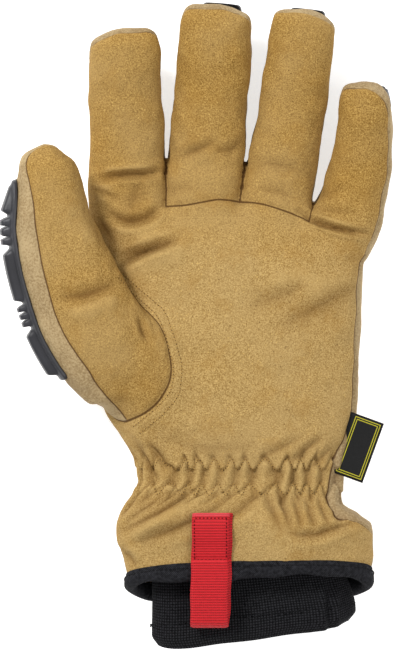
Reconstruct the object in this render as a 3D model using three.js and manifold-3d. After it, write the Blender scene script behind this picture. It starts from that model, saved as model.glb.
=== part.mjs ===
// A left-hand insulated work glove that lies on its back with the palm up.
// x runs from the thumb side to the little finger, y from the cuff to the fingertips, z up out of the palm.
// The leather shell is one hollow skin, cut along its seams into panels that keep a small gap.
import * as THREE from "three";
import { mergeVertices } from "three/addons/utils/BufferGeometryUtils.js";
import Module from "manifold-3d";

const wasm = await Module();
wasm.setup();

// Walls, seams and clearances, in millimetres
const WALL = 3; // leather with its warm lining
const SEAM_GAP = 0.3;
const SEAT_GAP = 0.3; // between a sewn-on piece and the leather under it
const GUARD_EASE = 0.9; // from the leather's rounded form to a guard, whose flat faces come closer
const KNIT_EASE = 0.6; // between the knit and the lining of the elasticated wrist
const MERGE = 1e-4; // points this close are one

// Palm, wrist and cuff of the shell
const PALM_LENGTH = 123; // wrist to knuckle line
const PALM_WIDTH = 120;
const PALM_DEPTH = 42;
const WRIST_WIDTH = 93;
const WRIST_DEPTH = 37;
const WRIST_SHIFT = 3.5; // the wrist sits towards the little finger
const WRIST_LENGTH = 22; // the elasticated stretch
const CUFF_LENGTH = 43; // wrist to hem
const CUFF_WIDTH = 118;
const CUFF_DEPTH = 46;
const CUFF_SHIFT = 6;
const HEM_ARCH = 6; // how far the hem's palm side is drawn up
const HEM_TILT = 1.4;
const PLEAT_COUNT = 24;
const PLEAT_DEPTH = 1.6;

// Fingers: root is a place on the knuckle line, as a share of half the palm width
const CURL = 18; // rise of a fingertip over its root
const ROOT_HEIGHT = 20.5; // height of a finger's middle over the surface
const FINGER_DEPTH = 28;
const INDEX_LENGTH = 84;
const MIDDLE_LENGTH = 91;
const RING_LENGTH = 93;
const LITTLE_LENGTH = 66;
const INDEX_WIDTH = 34.5;
const MIDDLE_WIDTH = 34.5;
const RING_WIDTH = 31.5;
const LITTLE_WIDTH = 29.5;
const TIP_WRAP = 1.6; // how far the back leather folds round a fingertip

// Thumb, set into the palm
const THUMB_REACH = 121; // along y, from its root inside the palm
const THUMB_WIDTH = 51;
const THUMB_DEPTH = 35;
const THUMB_LIFT = 19;
const THUMB_BASE_HEIGHT = 27;

// Trim
const BINDING_LENGTH = 5.5;
const BINDING_BULGE = 1.2;
const KNIT_WALL = 2;
const KNIT_LENGTH = 79; // from inside the wrist to its lower edge
const KNIT_TILT = 5.5;
const STRAP_WIDTH = 19;
const STRAP_THICKNESS = 1.5;
const STRAP_LENGTH = 50;
const STRAP_PATCH = 18; // the sewn stretch
const STRAP_OPENING = 6.5; // clear height inside the hanging loop
const STRAP_START = -17; // its upper edge, from the wrist line
const STRAP_SIDE = -19.5; // its thumb-side edge, from the middle of the palm
const LABEL_WIDTH = 14.5;
const LABEL_LENGTH = 29;
const LABEL_THICKNESS = 1;
const LABEL_LEAN = 20; // degrees from the glove's length
const LABEL_TUCK = 3; // how far it starts inside the seam line
const LABEL_START = 31; // its upper corner, from the wrist line

// Impact guards
const GUARD_FLANGE = 1.7;
const THUMB_GUARD_WIDTH = 24;
const THUMB_BLOCK_HEIGHT = 3.6;
const FINGER_GUARD_WIDTH = 15;
const FINGER_BLOCK_HEIGHT = 2.7;
const RIB_COUNT = 3; // in each flex zone

// Cross-sections
const PALM_SIDES = 26;
const WRIST_SIDES = PLEAT_COUNT * 2;
const LINING_SIDES = 16;
const FINGER_SIDES = 14;
const FINGER_LINING_SIDES = 10;
const THUMB_SIDES = 14;
const ROUND = 2.3; // exponent of a finger's section, 2 is an ellipse
const SQUARE = 2.7; // exponent of the palm's and cuff's section

// Shell sections from the knuckles to the hem. along is a share of the zone's length, left and right are
// shares of half its width, and front and back are heights as shares of its depth. pleat and hem are how much
// of the gathers' depth and of the hem's slope a section has, and seam is the height of the seam on the little
// finger's side over the middle, as a share of half the depth.
const PALM_ROWS = [
  { along: 1.0, left: -1.03, right: 1.06, front: 0.78, back: 0.22, pleat: 0, hem: 0, seam: 0.4 },
  { along: 0.9, left: -1.02, right: 1.02, front: 0.91, back: 0.04, pleat: 0, hem: 0, seam: 0.4 },
  { along: 0.77, left: -1.0, right: 1.0, front: 0.97, back: -0.04, pleat: 0, hem: 0, seam: 0.4 },
  { along: 0.64, left: -0.99, right: 0.985, front: 0.98, back: -0.06, pleat: 0, hem: 0, seam: 0.4 },
  { along: 0.49, left: -1.0, right: 0.97, front: 1.0, back: -0.06, pleat: 0, hem: 0, seam: 0.4 },
  { along: 0.34, left: -1.02, right: 0.96, front: 0.99, back: -0.05, pleat: 0, hem: 0, seam: 0.4 },
  { along: 0.25, left: -0.97, right: 0.955, front: 0.97, back: -0.02, pleat: 0, hem: 0, seam: 0.42 },
  { along: 0.17, left: -0.87, right: 0.917, front: 0.95, back: 0.03, pleat: 0.2, hem: 0, seam: 0.5 },
];
const WRIST_ROWS = [
  { along: 0.58, left: -1.08, right: 1.05, front: 1.05, back: 0.1, pleat: 0.5, hem: 0, seam: 0.6 },
  { along: 0.3, left: -1.02, right: 1.01, front: 1.02, back: 0.12, pleat: 1, hem: 0, seam: 0.65 },
  { along: 0, left: -1.0, right: 1.0, front: 1.0, back: 0.13, pleat: 0.85, hem: 0, seam: 0.68 },
  { along: -0.25, left: -1.06, right: 0.99, front: 1.02, back: 0.12, pleat: 1, hem: 0, seam: 0.68 },
  { along: -0.5, left: -1.15, right: 1.01, front: 1.12, back: 0.07, pleat: 0.8, hem: 0.1, seam: 0.66 },
];
const CUFF_ROWS = [
  { along: -0.37, left: -0.99, right: 0.88, front: 0.98, back: 0.02, pleat: 0.5, hem: 0.2, seam: 0.5 },
  { along: -0.48, left: -1.01, right: 0.98, front: 1.01, back: -0.02, pleat: 0, hem: 0.35, seam: 0.3 },
  { along: -0.64, left: -1.0, right: 1.0, front: 1.0, back: -0.04, pleat: 0, hem: 0.6, seam: 0.15 },
  { along: -0.82, left: -0.95, right: 1.0, front: 0.97, back: -0.03, pleat: 0, hem: 0.85, seam: 0.15 },
  { along: -1.0, left: -0.92, right: 0.975, front: 0.95, back: 0.05, pleat: 0, hem: 1, seam: 0.15 },
];

// Dents in the palm side of the body: place and spread as shares of the palm's half width and length, depth
// as a share of the wall's thickness
const DENTS = [
  { name: "palm hollow", across: 0.12, along: 0.55, wide: 0.42, long: 0.26, depth: 1.3 },
  { name: "crease under the fingers", across: 0.1, along: 0.86, wide: 0.75, long: 0.035, depth: 0.5 },
  { name: "heel crease", across: 0.35, along: 0.24, wide: 0.45, long: 0.045, depth: 0.5 },
  { name: "cuff tuck", across: 0.86, along: -0.14, wide: 0.14, long: 0.028, depth: 1.5 },
];

// Finger sections from inside the palm to the tip: shares of the finger's length, width, depth and curl
const FINGER_ROWS = [
  { along: -0.16, width: 0.9, depth: 0.9, curl: 0 },
  { along: 0, width: 1.06, depth: 1.0, curl: 0 },
  { along: 0.14, width: 1.07, depth: 1.0, curl: 0.012 },
  { along: 0.23, width: 1.05, depth: 0.92, curl: 0.035 },
  { along: 0.34, width: 1.04, depth: 0.98, curl: 0.08 },
  { along: 0.5, width: 1.01, depth: 0.96, curl: 0.2 },
  { along: 0.66, width: 1.0, depth: 0.93, curl: 0.38 },
  { along: 0.8, width: 0.99, depth: 0.88, curl: 0.6 },
  { along: 0.91, width: 0.94, depth: 0.76, curl: 0.8 },
  { along: 0.965, width: 0.83, depth: 0.58, curl: 0.93 },
  { along: 1.0, width: 0.6, depth: 0.3, curl: 1.0 },
];

// root is a share of half the palm width, drop is how far the root lies under the knuckle line, as a share of
// the palm's length, lean is in degrees from the glove's length, bow is a share of the finger's length, taper
// is the tip's share of the width, and the seams are heights as shares of half the depth
const FINGERS = [
  { name: "index", length: INDEX_LENGTH, width: INDEX_WIDTH, root: -0.79, drop: 0.008, lean: -1.8,
    bow: 0, taper: 0.97, leftSeam: -0.05, rightSeam: -0.1 },
  { name: "middle", length: MIDDLE_LENGTH, width: MIDDLE_WIDTH, root: -0.23, drop: -0.024, lean: 4.6,
    bow: 0, taper: 1, leftSeam: 0, rightSeam: 0 },
  { name: "ring", length: RING_LENGTH, width: RING_WIDTH, root: 0.3, drop: 0, lean: 9.5,
    bow: 0.016, taper: 1, leftSeam: 0, rightSeam: 0.05 },
  { name: "little", length: LITTLE_LENGTH, width: LITTLE_WIDTH, root: 0.85, drop: 0.061, lean: 8.5,
    bow: 0.053, taper: 0.75, leftSeam: -0.1, rightSeam: 0.6 },
];

// Thumb sections from inside the palm to the tip. out, up and lift are shares of the thumb's reach and lift,
// and seam is the height of its outer seam over the middle, as a share of half the depth.
const THUMB_ROWS = [
  { out: 0.018, up: -0.05, lift: 0, width: 0.42, depth: 0.35, seam: 1.2 },
  { out: 0.02, up: 0.01, lift: 0.16, width: 0.63, depth: 0.52, seam: 1.3 },
  { out: 0.035, up: 0.08, lift: 0.32, width: 0.8, depth: 0.7, seam: 1.35 },
  { out: 0.08, up: 0.15, lift: 0.47, width: 0.9, depth: 0.84, seam: 1.4 },
  { out: 0.15, up: 0.24, lift: 0.61, width: 0.93, depth: 0.96, seam: 1.45 },
  { out: 0.21, up: 0.34, lift: 0.68, width: 0.92, depth: 1.0, seam: 1.5 },
  { out: 0.262, up: 0.46, lift: 0.74, width: 0.88, depth: 0.95, seam: 1.5 },
  { out: 0.315, up: 0.6, lift: 0.8, width: 0.8, depth: 0.9, seam: 1.5 },
  { out: 0.342, up: 0.7, lift: 0.85, width: 0.72, depth: 0.86, seam: 1.45 },
  { out: 0.347, up: 0.785, lift: 0.89, width: 0.65, depth: 0.82, seam: 1.35 },
  { out: 0.352, up: 0.867, lift: 0.95, width: 0.57, depth: 0.74, seam: 1.2 },
  { out: 0.363, up: 0.935, lift: 0.97, width: 0.42, depth: 0.58, seam: 1.0 },
  { out: 0.361, up: 0.985, lift: 1.0, width: 0.18, depth: 0.24, seam: 0.9 },
];
const THUMB_ROOT = { x: -0.693, y: 0.28 }; // as shares of half the palm width and of the palm length
const THUMB_INNER_SEAM = -0.5; // height of the seam on the palm's side, as a share of half the depth

// One guard from its root end to its tip end: plain flange, raised blocks, and ribbed flex zones between them
const GUARD_ZONES = [
  { kind: "flange", length: 0.02 },
  { kind: "block", length: 0.22 },
  { kind: "ribs", length: 0.13 },
  { kind: "block", length: 0.26 },
  { kind: "ribs", length: 0.17 },
  { kind: "block", length: 0.18 },
  { kind: "flange", length: 0.02 },
];
const BLOCK_SLOPE = 0.012; // length of a block's end slope, as a share of the guard
const RIB_VALLEY = 0.25; // height between ribs, as a share of a block's
const BLOCK_SHARE = 0.7; // width of the blocks, as a share of the guard's

// turn is the guard's middle round its limb in degrees, where 180 faces the thumb side and 270 faces down,
// from and to are shares of the limb's length, and rise is how far it stands off where it runs out over a
// fingertip, as a share of its blocks' height
const THUMB_GUARD = { width: THUMB_GUARD_WIDTH, height: THUMB_BLOCK_HEIGHT };
const FINGER_GUARD = { width: FINGER_GUARD_WIDTH, height: FINGER_BLOCK_HEIGHT };
const GUARDS = [
  { limb: "thumb", ...THUMB_GUARD, turn: 187, from: 0.27, to: 0.895, rise: 0 },
  { limb: "index", ...FINGER_GUARD, turn: 268, from: 0.2, to: 0.94, rise: 0.37 },
  { limb: "middle", ...FINGER_GUARD, turn: 280, from: 0.2, to: 0.97, rise: 0.55 },
  { limb: "ring", ...FINGER_GUARD, turn: 278, from: 0.2, to: 0.97, rise: 0.55 },
  { limb: "little", ...FINGER_GUARD, turn: 292, from: 0.22, to: 0.95, rise: 0.55 },
];
const GUARD_END = 0.8; // where the last block's run-out begins, as a share of the guard's length
const END_NARROWING = 0.45; // how much narrower a guard is at its tip end

// Materials
const finish = (color, roughness) => new THREE.MeshStandardMaterial({ color, roughness, metalness: 0 });
const GOLD_SUEDE = finish(0xb8924a, 0.95);
const BEIGE_LEATHER = finish(0xcbb08a, 0.85);
const BLACK_RUBBER = finish(0x2b2b30, 0.55);
const BLACK_BINDING = finish(0x141416, 0.9);
const BLACK_KNIT = finish(0x17171a, 0.95);
const RED_WEBBING = finish(0xc22233, 0.8);
const BLACK_LABEL = finish(0x101010, 0.7);

const lerp = THREE.MathUtils.lerp;
const radians = THREE.MathUtils.degToRad;
const power = (value, exponent) => Math.sign(value) * Math.abs(value) ** exponent;

// Solids from geometry and back
function solidOf(geometry) {
  const bare = geometry.clone();
  bare.deleteAttribute("normal");
  bare.deleteAttribute("uv");
  const merged = mergeVertices(bare, MERGE);
  const mesh = new wasm.Mesh({
    numProp: 3,
    vertProperties: merged.attributes.position.array,
    triVerts: new Uint32Array(merged.index.array),
  });
  return new wasm.Manifold(mesh);
}

function largest(solid) {
  return solid.decompose().reduce((best, next) => (next.volume() > best.volume() ? next : best));
}

function meshOf(name, solid, material) {
  const found = largest(solid).getMesh();
  const geometry = new THREE.BufferGeometry();
  geometry.setAttribute("position", new THREE.BufferAttribute(new Float32Array(found.vertProperties), 3));
  geometry.setIndex(new THREE.BufferAttribute(new Uint32Array(found.triVerts), 1));
  geometry.computeVertexNormals();
  const mesh = new THREE.Mesh(geometry, material);
  mesh.name = name;
  return mesh;
}

const union = (solids) => solids.reduce((whole, next) => whole.add(next));

// Triangles that fill a ring of points, in the ring's own turning sense
function fill(ring) {
  const normal = new THREE.Vector3();
  ring.forEach((p, i) => normal.add(p.clone().cross(ring[(i + 1) % ring.length])));
  normal.normalize();
  const across = ring[1].clone().sub(ring[0]).normalize();
  const up = normal.clone().cross(across);
  const flat = ring.map((p) => new THREE.Vector2(p.dot(across), p.dot(up)));
  return THREE.ShapeUtils.triangulateShape(flat, []).map(([a, b, c]) => {
    const turn = flat[b].clone().sub(flat[a]).cross(flat[c].clone().sub(flat[a]));
    return turn > 0 ? [a, b, c] : [a, c, b];
  });
}

// A closed body through rings of points, which may differ in their number of points
function loft(rings) {
  const points = rings.flat();
  const starts = rings.map((_, k) => rings.slice(0, k).flat().length);
  const faces = [];
  for (let k = 1; k < rings.length; k += 1) {
    const [low, high] = [rings[k - 1].length, rings[k].length];
    let [i, j] = [0, 0];
    while (i < low || j < high) {
      const a = starts[k - 1] + (i % low);
      const c = starts[k] + (j % high);
      if (j >= high || (i < low && (i + 1) / low <= (j + 1) / high)) {
        faces.push([a, c, starts[k - 1] + ((i + 1) % low)]);
        i += 1;
      } else {
        faces.push([a, c, starts[k] + ((j + 1) % high)]);
        j += 1;
      }
    }
  }
  const top = starts.at(-1);
  faces.push(...fill(rings[0]), ...fill(rings.at(-1)).map(([a, b, c]) => [top + a, top + c, top + b]));
  const geometry = new THREE.BufferGeometry().setFromPoints(points);
  geometry.setIndex(faces.flat());
  const made = solidOf(geometry);
  if (made.volume() > 0) return made;
  geometry.setIndex(faces.map(([a, b, c]) => [a, c, b]).flat());
  return solidOf(geometry);
}

// Points of a superellipse, evenly spaced along its line from its right-hand end: u and v, from -1 to 1
function evenSection(halfWidth, halfDepth, exponent, sides) {
  const steps = sides * 8;
  const fine = Array.from({ length: steps + 1 }, (_, i) => {
    const angle = (i / steps) * 2 * Math.PI;
    return { u: power(Math.cos(angle), 2 / exponent), v: power(Math.sin(angle), 2 / exponent) };
  });
  const lengths = [0];
  for (let i = 1; i <= steps; i += 1) {
    const across = (fine[i].u - fine[i - 1].u) * halfWidth;
    lengths.push(lengths[i - 1] + Math.hypot(across, (fine[i].v - fine[i - 1].v) * halfDepth));
  }
  let k = 0;
  return Array.from({ length: sides }, (_, i) => {
    const wanted = (i / sides) * lengths[steps];
    while (lengths[k + 1] < wanted) k += 1;
    const share = (wanted - lengths[k]) / (lengths[k + 1] - lengths[k]);
    return { u: lerp(fine[k].u, fine[k + 1].u, share), v: lerp(fine[k].v, fine[k + 1].v, share) };
  });
}

// Palm, wrist and cuff
const ZONES = [
  { rows: PALM_ROWS, length: PALM_LENGTH, width: PALM_WIDTH, depth: PALM_DEPTH, shift: 0 },
  { rows: WRIST_ROWS, length: WRIST_LENGTH, width: WRIST_WIDTH, depth: WRIST_DEPTH, shift: WRIST_SHIFT },
  { rows: CUFF_ROWS, length: CUFF_LENGTH, width: CUFF_WIDTH, depth: CUFF_DEPTH, shift: CUFF_SHIFT },
];

const BODY = ZONES.flatMap((zone) => zone.rows.map((row) => ({
  y: row.along * zone.length,
  left: zone.shift + (row.left * zone.width) / 2,
  right: zone.shift + (row.right * zone.width) / 2,
  front: row.front * zone.depth,
  back: row.back * zone.depth,
  pleat: row.pleat * PLEAT_DEPTH,
  hem: row.hem,
  seam: row.seam,
})));
const HEM = BODY.at(-1);

// The body's size at a distance y from the wrist line
function bodyAt(y) {
  const next = Math.max(BODY.findIndex((station) => station.y <= y), 1);
  const [above, below] = [BODY[next - 1], BODY[next]];
  const share = (above.y - y) / (above.y - below.y);
  return {
    right: lerp(above.right, below.right, share),
    front: lerp(above.front, below.front, share),
    back: lerp(above.back, below.back, share),
    seam: lerp(above.seam, below.seam, share),
  };
}

function dentDepth(x, y) {
  return DENTS.reduce((sum, dent) => {
    const across = (x / (PALM_WIDTH / 2) - dent.across) / dent.wide;
    const along = (y / PALM_LENGTH - dent.along) / dent.long;
    return sum + dent.depth * WALL * Math.exp(-across * across - along * along);
  }, 0);
}

// A ring of the body, moved out by offset and flat where the glove rests. The pleats dip in between ridges.
function bodyRing(station, offset, sides, lengthen = 0) {
  const middle = {
    x: (station.left + station.right) / 2,
    z: (station.front + station.back) / 2,
  };
  const halfWidth = (station.right - station.left) / 2 + offset;
  const halfDepth = (station.front - station.back) / 2 + offset;
  return evenSection(halfWidth, halfDepth, SQUARE, sides).map(({ u, v }, i) => {
    const dip = sides === WRIST_SIDES && i % 2 > 0 ? station.pleat : 0;
    const x = middle.x + u * (halfWidth - dip);
    const y = station.y + station.hem * (HEM_ARCH * v + HEM_TILT * u);
    const dent = v > 0 ? v * dentDepth(x, y) : 0;
    const z = Math.max(middle.z + v * (halfDepth - dip) - dent, -offset);
    return new THREE.Vector3(x, y + lengthen, z);
  });
}

const skinSides = (station) => (station.pleat > 0 ? WRIST_SIDES : PALM_SIDES);
const body = (offset) => loft(BODY.map((station) => bodyRing(station, offset, skinSides(station))));
const bodyHollow = loft([
  bodyRing(BODY[0], -WALL, LINING_SIDES, -WALL),
  ...BODY.slice(1).map((station) => bodyRing(station, -WALL, LINING_SIDES)),
  bodyRing(HEM, -WALL, LINING_SIDES, -WALL),
]);

// A limb is a list of sections: middle, along, across and up directions, half width, half depth and seams
function sectionsAlong(places, sizes) {
  return places.map((middle, k) => {
    const before = places[Math.max(k - 1, 0)];
    const after = places[Math.min(k + 1, places.length - 1)];
    const along = after.clone().sub(before).normalize();
    const across = new THREE.Vector3().crossVectors(along, new THREE.Vector3(0, 0, 1)).normalize();
    const up = new THREE.Vector3().crossVectors(across, along);
    return { middle, along, across, up, ...sizes[k] };
  });
}

function fingerSections(finger) {
  const root = new THREE.Vector3(
    (finger.root * PALM_WIDTH) / 2,
    (1 - finger.drop) * PALM_LENGTH,
    ROOT_HEIGHT,
  );
  const lean = radians(finger.lean);
  const places = FINGER_ROWS.map(({ along, curl }) => {
    const sideways = finger.bow * finger.length * Math.sin(Math.PI * Math.max(along, 0));
    return root.clone().add(new THREE.Vector3(
      along * finger.length * Math.sin(lean) + sideways * Math.cos(lean),
      along * finger.length * Math.cos(lean) - sideways * Math.sin(lean),
      curl * CURL,
    ));
  });
  const sizes = FINGER_ROWS.map(({ along, width, depth }) => {
    const taper = lerp(1, finger.taper, Math.max(along, 0) ** 3);
    return {
      halfWidth: (width * taper * finger.width) / 2,
      halfDepth: (depth * FINGER_DEPTH) / 2,
      leftSeam: finger.leftSeam,
      rightSeam: finger.rightSeam,
    };
  });
  return sectionsAlong(places, sizes);
}

const THUMB_START = new THREE.Vector3(
  (THUMB_ROOT.x * PALM_WIDTH) / 2,
  THUMB_ROOT.y * PALM_LENGTH,
  THUMB_BASE_HEIGHT,
);
const THUMB = sectionsAlong(
  THUMB_ROWS.map(({ out, up, lift }) =>
    THUMB_START.clone().add(new THREE.Vector3(-out * THUMB_REACH, up * THUMB_REACH, lift * THUMB_LIFT))),
  THUMB_ROWS.map(({ width, depth, seam }) => ({
    halfWidth: (width * THUMB_WIDTH) / 2,
    halfDepth: (depth * THUMB_DEPTH) / 2,
    leftSeam: seam,
    rightSeam: THUMB_INNER_SEAM,
  })),
);

// A place on or over a limb's skin, at shares u and v of its half width and depth
function onSection(section, u, v, offset) {
  return section.middle.clone()
    .addScaledVector(section.across, u * Math.max(section.halfWidth + offset, 1))
    .addScaledVector(section.up, v * Math.max(section.halfDepth + offset, 1));
}

// Near the tip the wall's thickness is taken along the limb too
function limb(sections, sides, offset) {
  return loft(sections.map((section, k) => {
    const tipShift = offset * (k / (sections.length - 1)) ** 6;
    const shape = evenSection(section.halfWidth, section.halfDepth, ROUND, sides);
    return shape.map(({ u, v }) =>
      onSection(section, u, v, offset).addScaledVector(section.along, tipShift));
  }));
}

// The lining follows every other section
const lining = (sections) => sections.filter((_, k) => k % 2 === 0 || k === sections.length - 1);

// The palm side of a limb, as a block that stands on its two seams and ends before the tip, to cut panels
const HEADROOM = 14; // of a cutting block over the skin
function frontBlock(sections, grow, reach) {
  const ring = (section, shift) => {
    const corner = (side, height) => section.middle.clone()
      .addScaledVector(section.along, shift)
      .addScaledVector(section.across, side * (section.halfWidth + reach + grow))
      .addScaledVector(section.up, height);
    return [
      corner(1, section.rightSeam * section.halfDepth - grow),
      corner(1, section.halfDepth + HEADROOM),
      corner(-1, section.halfDepth + HEADROOM),
      corner(-1, section.leftSeam * section.halfDepth - grow),
    ];
  };
  const [first, beforeLast] = [sections[0], sections.at(-2)];
  const last = { ...beforeLast, middle: sections.at(-1).middle };
  const rings = [...sections.slice(0, -1).map((section) => ring(section, 0)), ring(last, -TIP_WRAP)];
  return loft(grow > 0 ? [ring(first, -grow), ...rings, ring(last, grow - TIP_WRAP)] : rings);
}

// The palm side of the body, in the same way
const BODY_LEFT_SEAM = -0.1; // height of the seam on the thumb's side, as a share of half the depth
const WEB_REACH = 7; // past the knuckle line, into the crotches between the fingers
const OVERRUN = 15; // of the block past the sides, the hem and the palm's face
function bodyBlock(grow) {
  const rings = BODY.map((station) => {
    const [x, z] = [(station.left + station.right) / 2, (station.front + station.back) / 2];
    const halfDepth = (station.front - station.back) / 2;
    const reach = (station.right - station.left) / 2 + OVERRUN;
    const top = z + halfDepth + OVERRUN;
    return [
      new THREE.Vector3(x + reach, station.y, z + station.seam * halfDepth - grow),
      new THREE.Vector3(x + reach, station.y, top),
      new THREE.Vector3(x - reach, station.y, top),
      new THREE.Vector3(x - reach, station.y, z + BODY_LEFT_SEAM * halfDepth - grow),
    ];
  });
  const moved = (ring, y) => ring.map((p) => p.clone().add(new THREE.Vector3(0, y, 0)));
  return loft([moved(rings[0], WEB_REACH + grow), ...rings, moved(rings.at(-1), -OVERRUN)]);
}

const fingers = FINGERS.map((finger) => ({ ...finger, sections: fingerSections(finger) }));
const [index, middle, ring, little] = fingers;

const fingerSkins = (offset) => fingers.map(({ sections }) => limb(sections, FINGER_SIDES, offset));
const fingerHollows = fingers.map(({ sections }) => limb(lining(sections), FINGER_LINING_SIDES, -WALL));
const skin = (offset) => union([body(offset), ...fingerSkins(offset)]);
const hollow = union([bodyHollow, ...fingerHollows]);
const thumbSkin = limb(THUMB, THUMB_SIDES, 0);
const thumbHollow = limb(lining(THUMB), FINGER_LINING_SIDES, -WALL);
const shell = skin(0).subtract(hollow).subtract(thumbHollow);
const thumbShell = thumbSkin.subtract(thumbHollow).subtract(skin(SEAM_GAP));

// Panels. The middle and ring fingers have palm-side panels of their own, with a seam under each finger.
const FINGER_REACH = 0.8; // how far a cutting block stands out beside a finger, short of the next one
const THUMB_BLOCK_REACH = 6;
const wholeBlock = (finger, grow) => frontBlock(finger.sections, grow, FINGER_REACH);
const seamedBlock = (finger, grow) => frontBlock(finger.sections.slice(1), grow, FINGER_REACH);
const seamedBlocks = (grow) => seamedBlock(middle, grow).add(seamedBlock(ring, grow));
const palmBlock = (grow) => union([bodyBlock(grow), wholeBlock(index, grow), wholeBlock(little, grow)]);
const thumbBlock = (grow) => frontBlock(THUMB, grow, THUMB_BLOCK_REACH);

const palmPanel = shell.intersect(palmBlock(0)).subtract(seamedBlocks(SEAM_GAP));
const middlePanel = shell.intersect(seamedBlock(middle, 0)).subtract(seamedBlock(ring, SEAM_GAP));
const ringPanel = shell.intersect(seamedBlock(ring, 0));
const backPanel = shell.subtract(palmBlock(SEAM_GAP)).subtract(seamedBlocks(SEAM_GAP));
const thumbPalmPanel = thumbShell.intersect(thumbBlock(0));
const thumbBackPanel = thumbShell.subtract(thumbBlock(SEAM_GAP));

// Black binding round the hem: a rolled band that is a little fuller than the wall
const BINDING_ROWS = [
  { along: 0, bulge: 0 },
  { along: 0.25, bulge: 1 },
  { along: 0.75, bulge: 1 },
  { along: 1, bulge: 0 },
];
const bindingRing = ({ along, bulge }, offset, sign, sides) =>
  bodyRing(HEM, offset + sign * bulge * BINDING_BULGE, sides, -SEAM_GAP - along * BINDING_LENGTH);
const bindingHollow = loft([
  bodyRing(HEM, -WALL, LINING_SIDES, WALL),
  ...BINDING_ROWS.map((row) => bindingRing(row, -WALL, -1, LINING_SIDES)),
  bodyRing(HEM, -WALL, LINING_SIDES, -2 * BINDING_LENGTH),
]);
const bindingSkin = loft(BINDING_ROWS.map((row) => bindingRing(row, 0, 1, PALM_SIDES)));
const binding = bindingSkin.subtract(bindingHollow);

// Knitted inner cuff: it starts inside the elasticated wrist and widens towards its turned edge. left, right
// and depth are how much wider it is than there, as shares of half the wrist width.
const KNIT_ROWS = [
  { along: 0, left: 0, right: 0, depth: 0, tilt: 0 },
  { along: 0.12, left: 0, right: 0, depth: 0, tilt: 0 },
  { along: 0.24, left: 0, right: -0.05, depth: -0.02, tilt: 0 },
  { along: 0.45, left: -0.04, right: 0.02, depth: -0.02, tilt: 0.2 },
  { along: 0.7, left: -0.05, right: 0.14, depth: 0, tilt: 0.6 },
  { along: 0.94, left: -0.04, right: 0.22, depth: 0.03, tilt: 1 },
  { along: 1.0, left: -0.1, right: 0.15, depth: -0.03, tilt: 1 },
];
const KNIT_TOP = 6; // over the wrist line
const WRIST = BODY.find((station) => station.y === 0);

function knitRing(row, offset, lengthen) {
  const half = WRIST_WIDTH / 2;
  const fit = WALL + KNIT_EASE;
  const left = WRIST.left + fit - row.left * half;
  const right = WRIST.right - fit + row.right * half;
  const halfWidth = (right - left) / 2 + offset;
  const halfDepth = (WRIST.front - WRIST.back) / 2 - fit + row.depth * half + offset;
  return evenSection(halfWidth, halfDepth, SQUARE, LINING_SIDES).map(({ u, v }) => new THREE.Vector3(
    (left + right) / 2 + u * halfWidth,
    KNIT_TOP - row.along * KNIT_LENGTH + lengthen + row.tilt * KNIT_TILT * u,
    (WRIST.front + WRIST.back) / 2 + v * halfDepth,
  ));
}

const knitEnds = { 0: KNIT_WALL, [KNIT_ROWS.length - 1]: -KNIT_WALL };
const knit = loft(KNIT_ROWS.map((row) => knitRing(row, 0, 0))).subtract(
  loft(KNIT_ROWS.map((row, k) => knitRing(row, -KNIT_WALL, knitEnds[k] ?? 0))),
);
const knitFront = Math.max(...KNIT_ROWS.flatMap((row) => knitRing(row, 0, 0)).map((p) => p.z));

// Pull loop: two layers of webbing sewn flat to the cuff, then a loop that hangs over the hem onto the knit
function pullLoop() {
  const layer = STRAP_THICKNESS;
  const underStrap = BODY.filter((station) => station.y < STRAP_START);
  const cuffTop = Math.max(...underStrap.map((station) => station.front));
  const hemTop = HEM.front + BINDING_BULGE + SEAT_GAP;
  const seat = cuffTop + SEAT_GAP;
  const patchEnd = STRAP_START - STRAP_PATCH;
  const hemEdge = HEM.y + HEM_ARCH - BINDING_LENGTH - SEAM_GAP;
  const radius = STRAP_OPENING / 2 + layer;
  const end = new THREE.Vector2(STRAP_START - STRAP_LENGTH + radius, knitFront + SEAT_GAP + radius);
  const side = new THREE.Shape();
  side.moveTo(STRAP_START, seat - WALL);
  side.lineTo(STRAP_START, seat + 2 * layer);
  side.lineTo(patchEnd, seat + 2 * layer);
  side.lineTo(hemEdge, hemTop + 2 * layer);
  side.absarc(end.x, end.y, radius, Math.PI / 2, 1.5 * Math.PI);
  side.lineTo(hemEdge - layer, hemTop - layer);
  side.lineTo(hemEdge, hemTop);
  side.lineTo(HEM.y + HEM_ARCH, hemTop);
  side.lineTo(patchEnd, seat - WALL);
  const eye = new THREE.Path();
  eye.absarc(end.x, end.y, STRAP_OPENING / 2, 1.5 * Math.PI, Math.PI / 2, true);
  eye.lineTo(hemEdge - layer, hemTop + layer);
  side.holes.push(eye);
  const across = { depth: STRAP_WIDTH, bevelEnabled: false, curveSegments: 6 };
  const strap = new THREE.ExtrudeGeometry(side, across);
  strap.applyMatrix4(new THREE.Matrix4().makeBasis(
    new THREE.Vector3(0, 1, 0),
    new THREE.Vector3(0, 0, 1),
    new THREE.Vector3(1, 0, 0),
  ));
  strap.translate(STRAP_SIDE, 0, 0);
  return solidOf(strap).subtract(skin(SEAT_GAP));
}

// Sew-in label, in the plane of the seam on the little finger's side
function label() {
  const at = bodyAt(LABEL_START);
  const height = (at.front + at.back) / 2 + (at.seam * (at.front - at.back)) / 2;
  const flag = new THREE.BoxGeometry(LABEL_WIDTH + LABEL_TUCK, LABEL_LENGTH, LABEL_THICKNESS);
  flag.translate((LABEL_WIDTH - LABEL_TUCK) / 2, -LABEL_LENGTH / 2, 0);
  flag.rotateZ(-radians(LABEL_LEAN));
  flag.translate(at.right, LABEL_START, height);
  return solidOf(flag).subtract(skin(SEAT_GAP));
}

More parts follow.
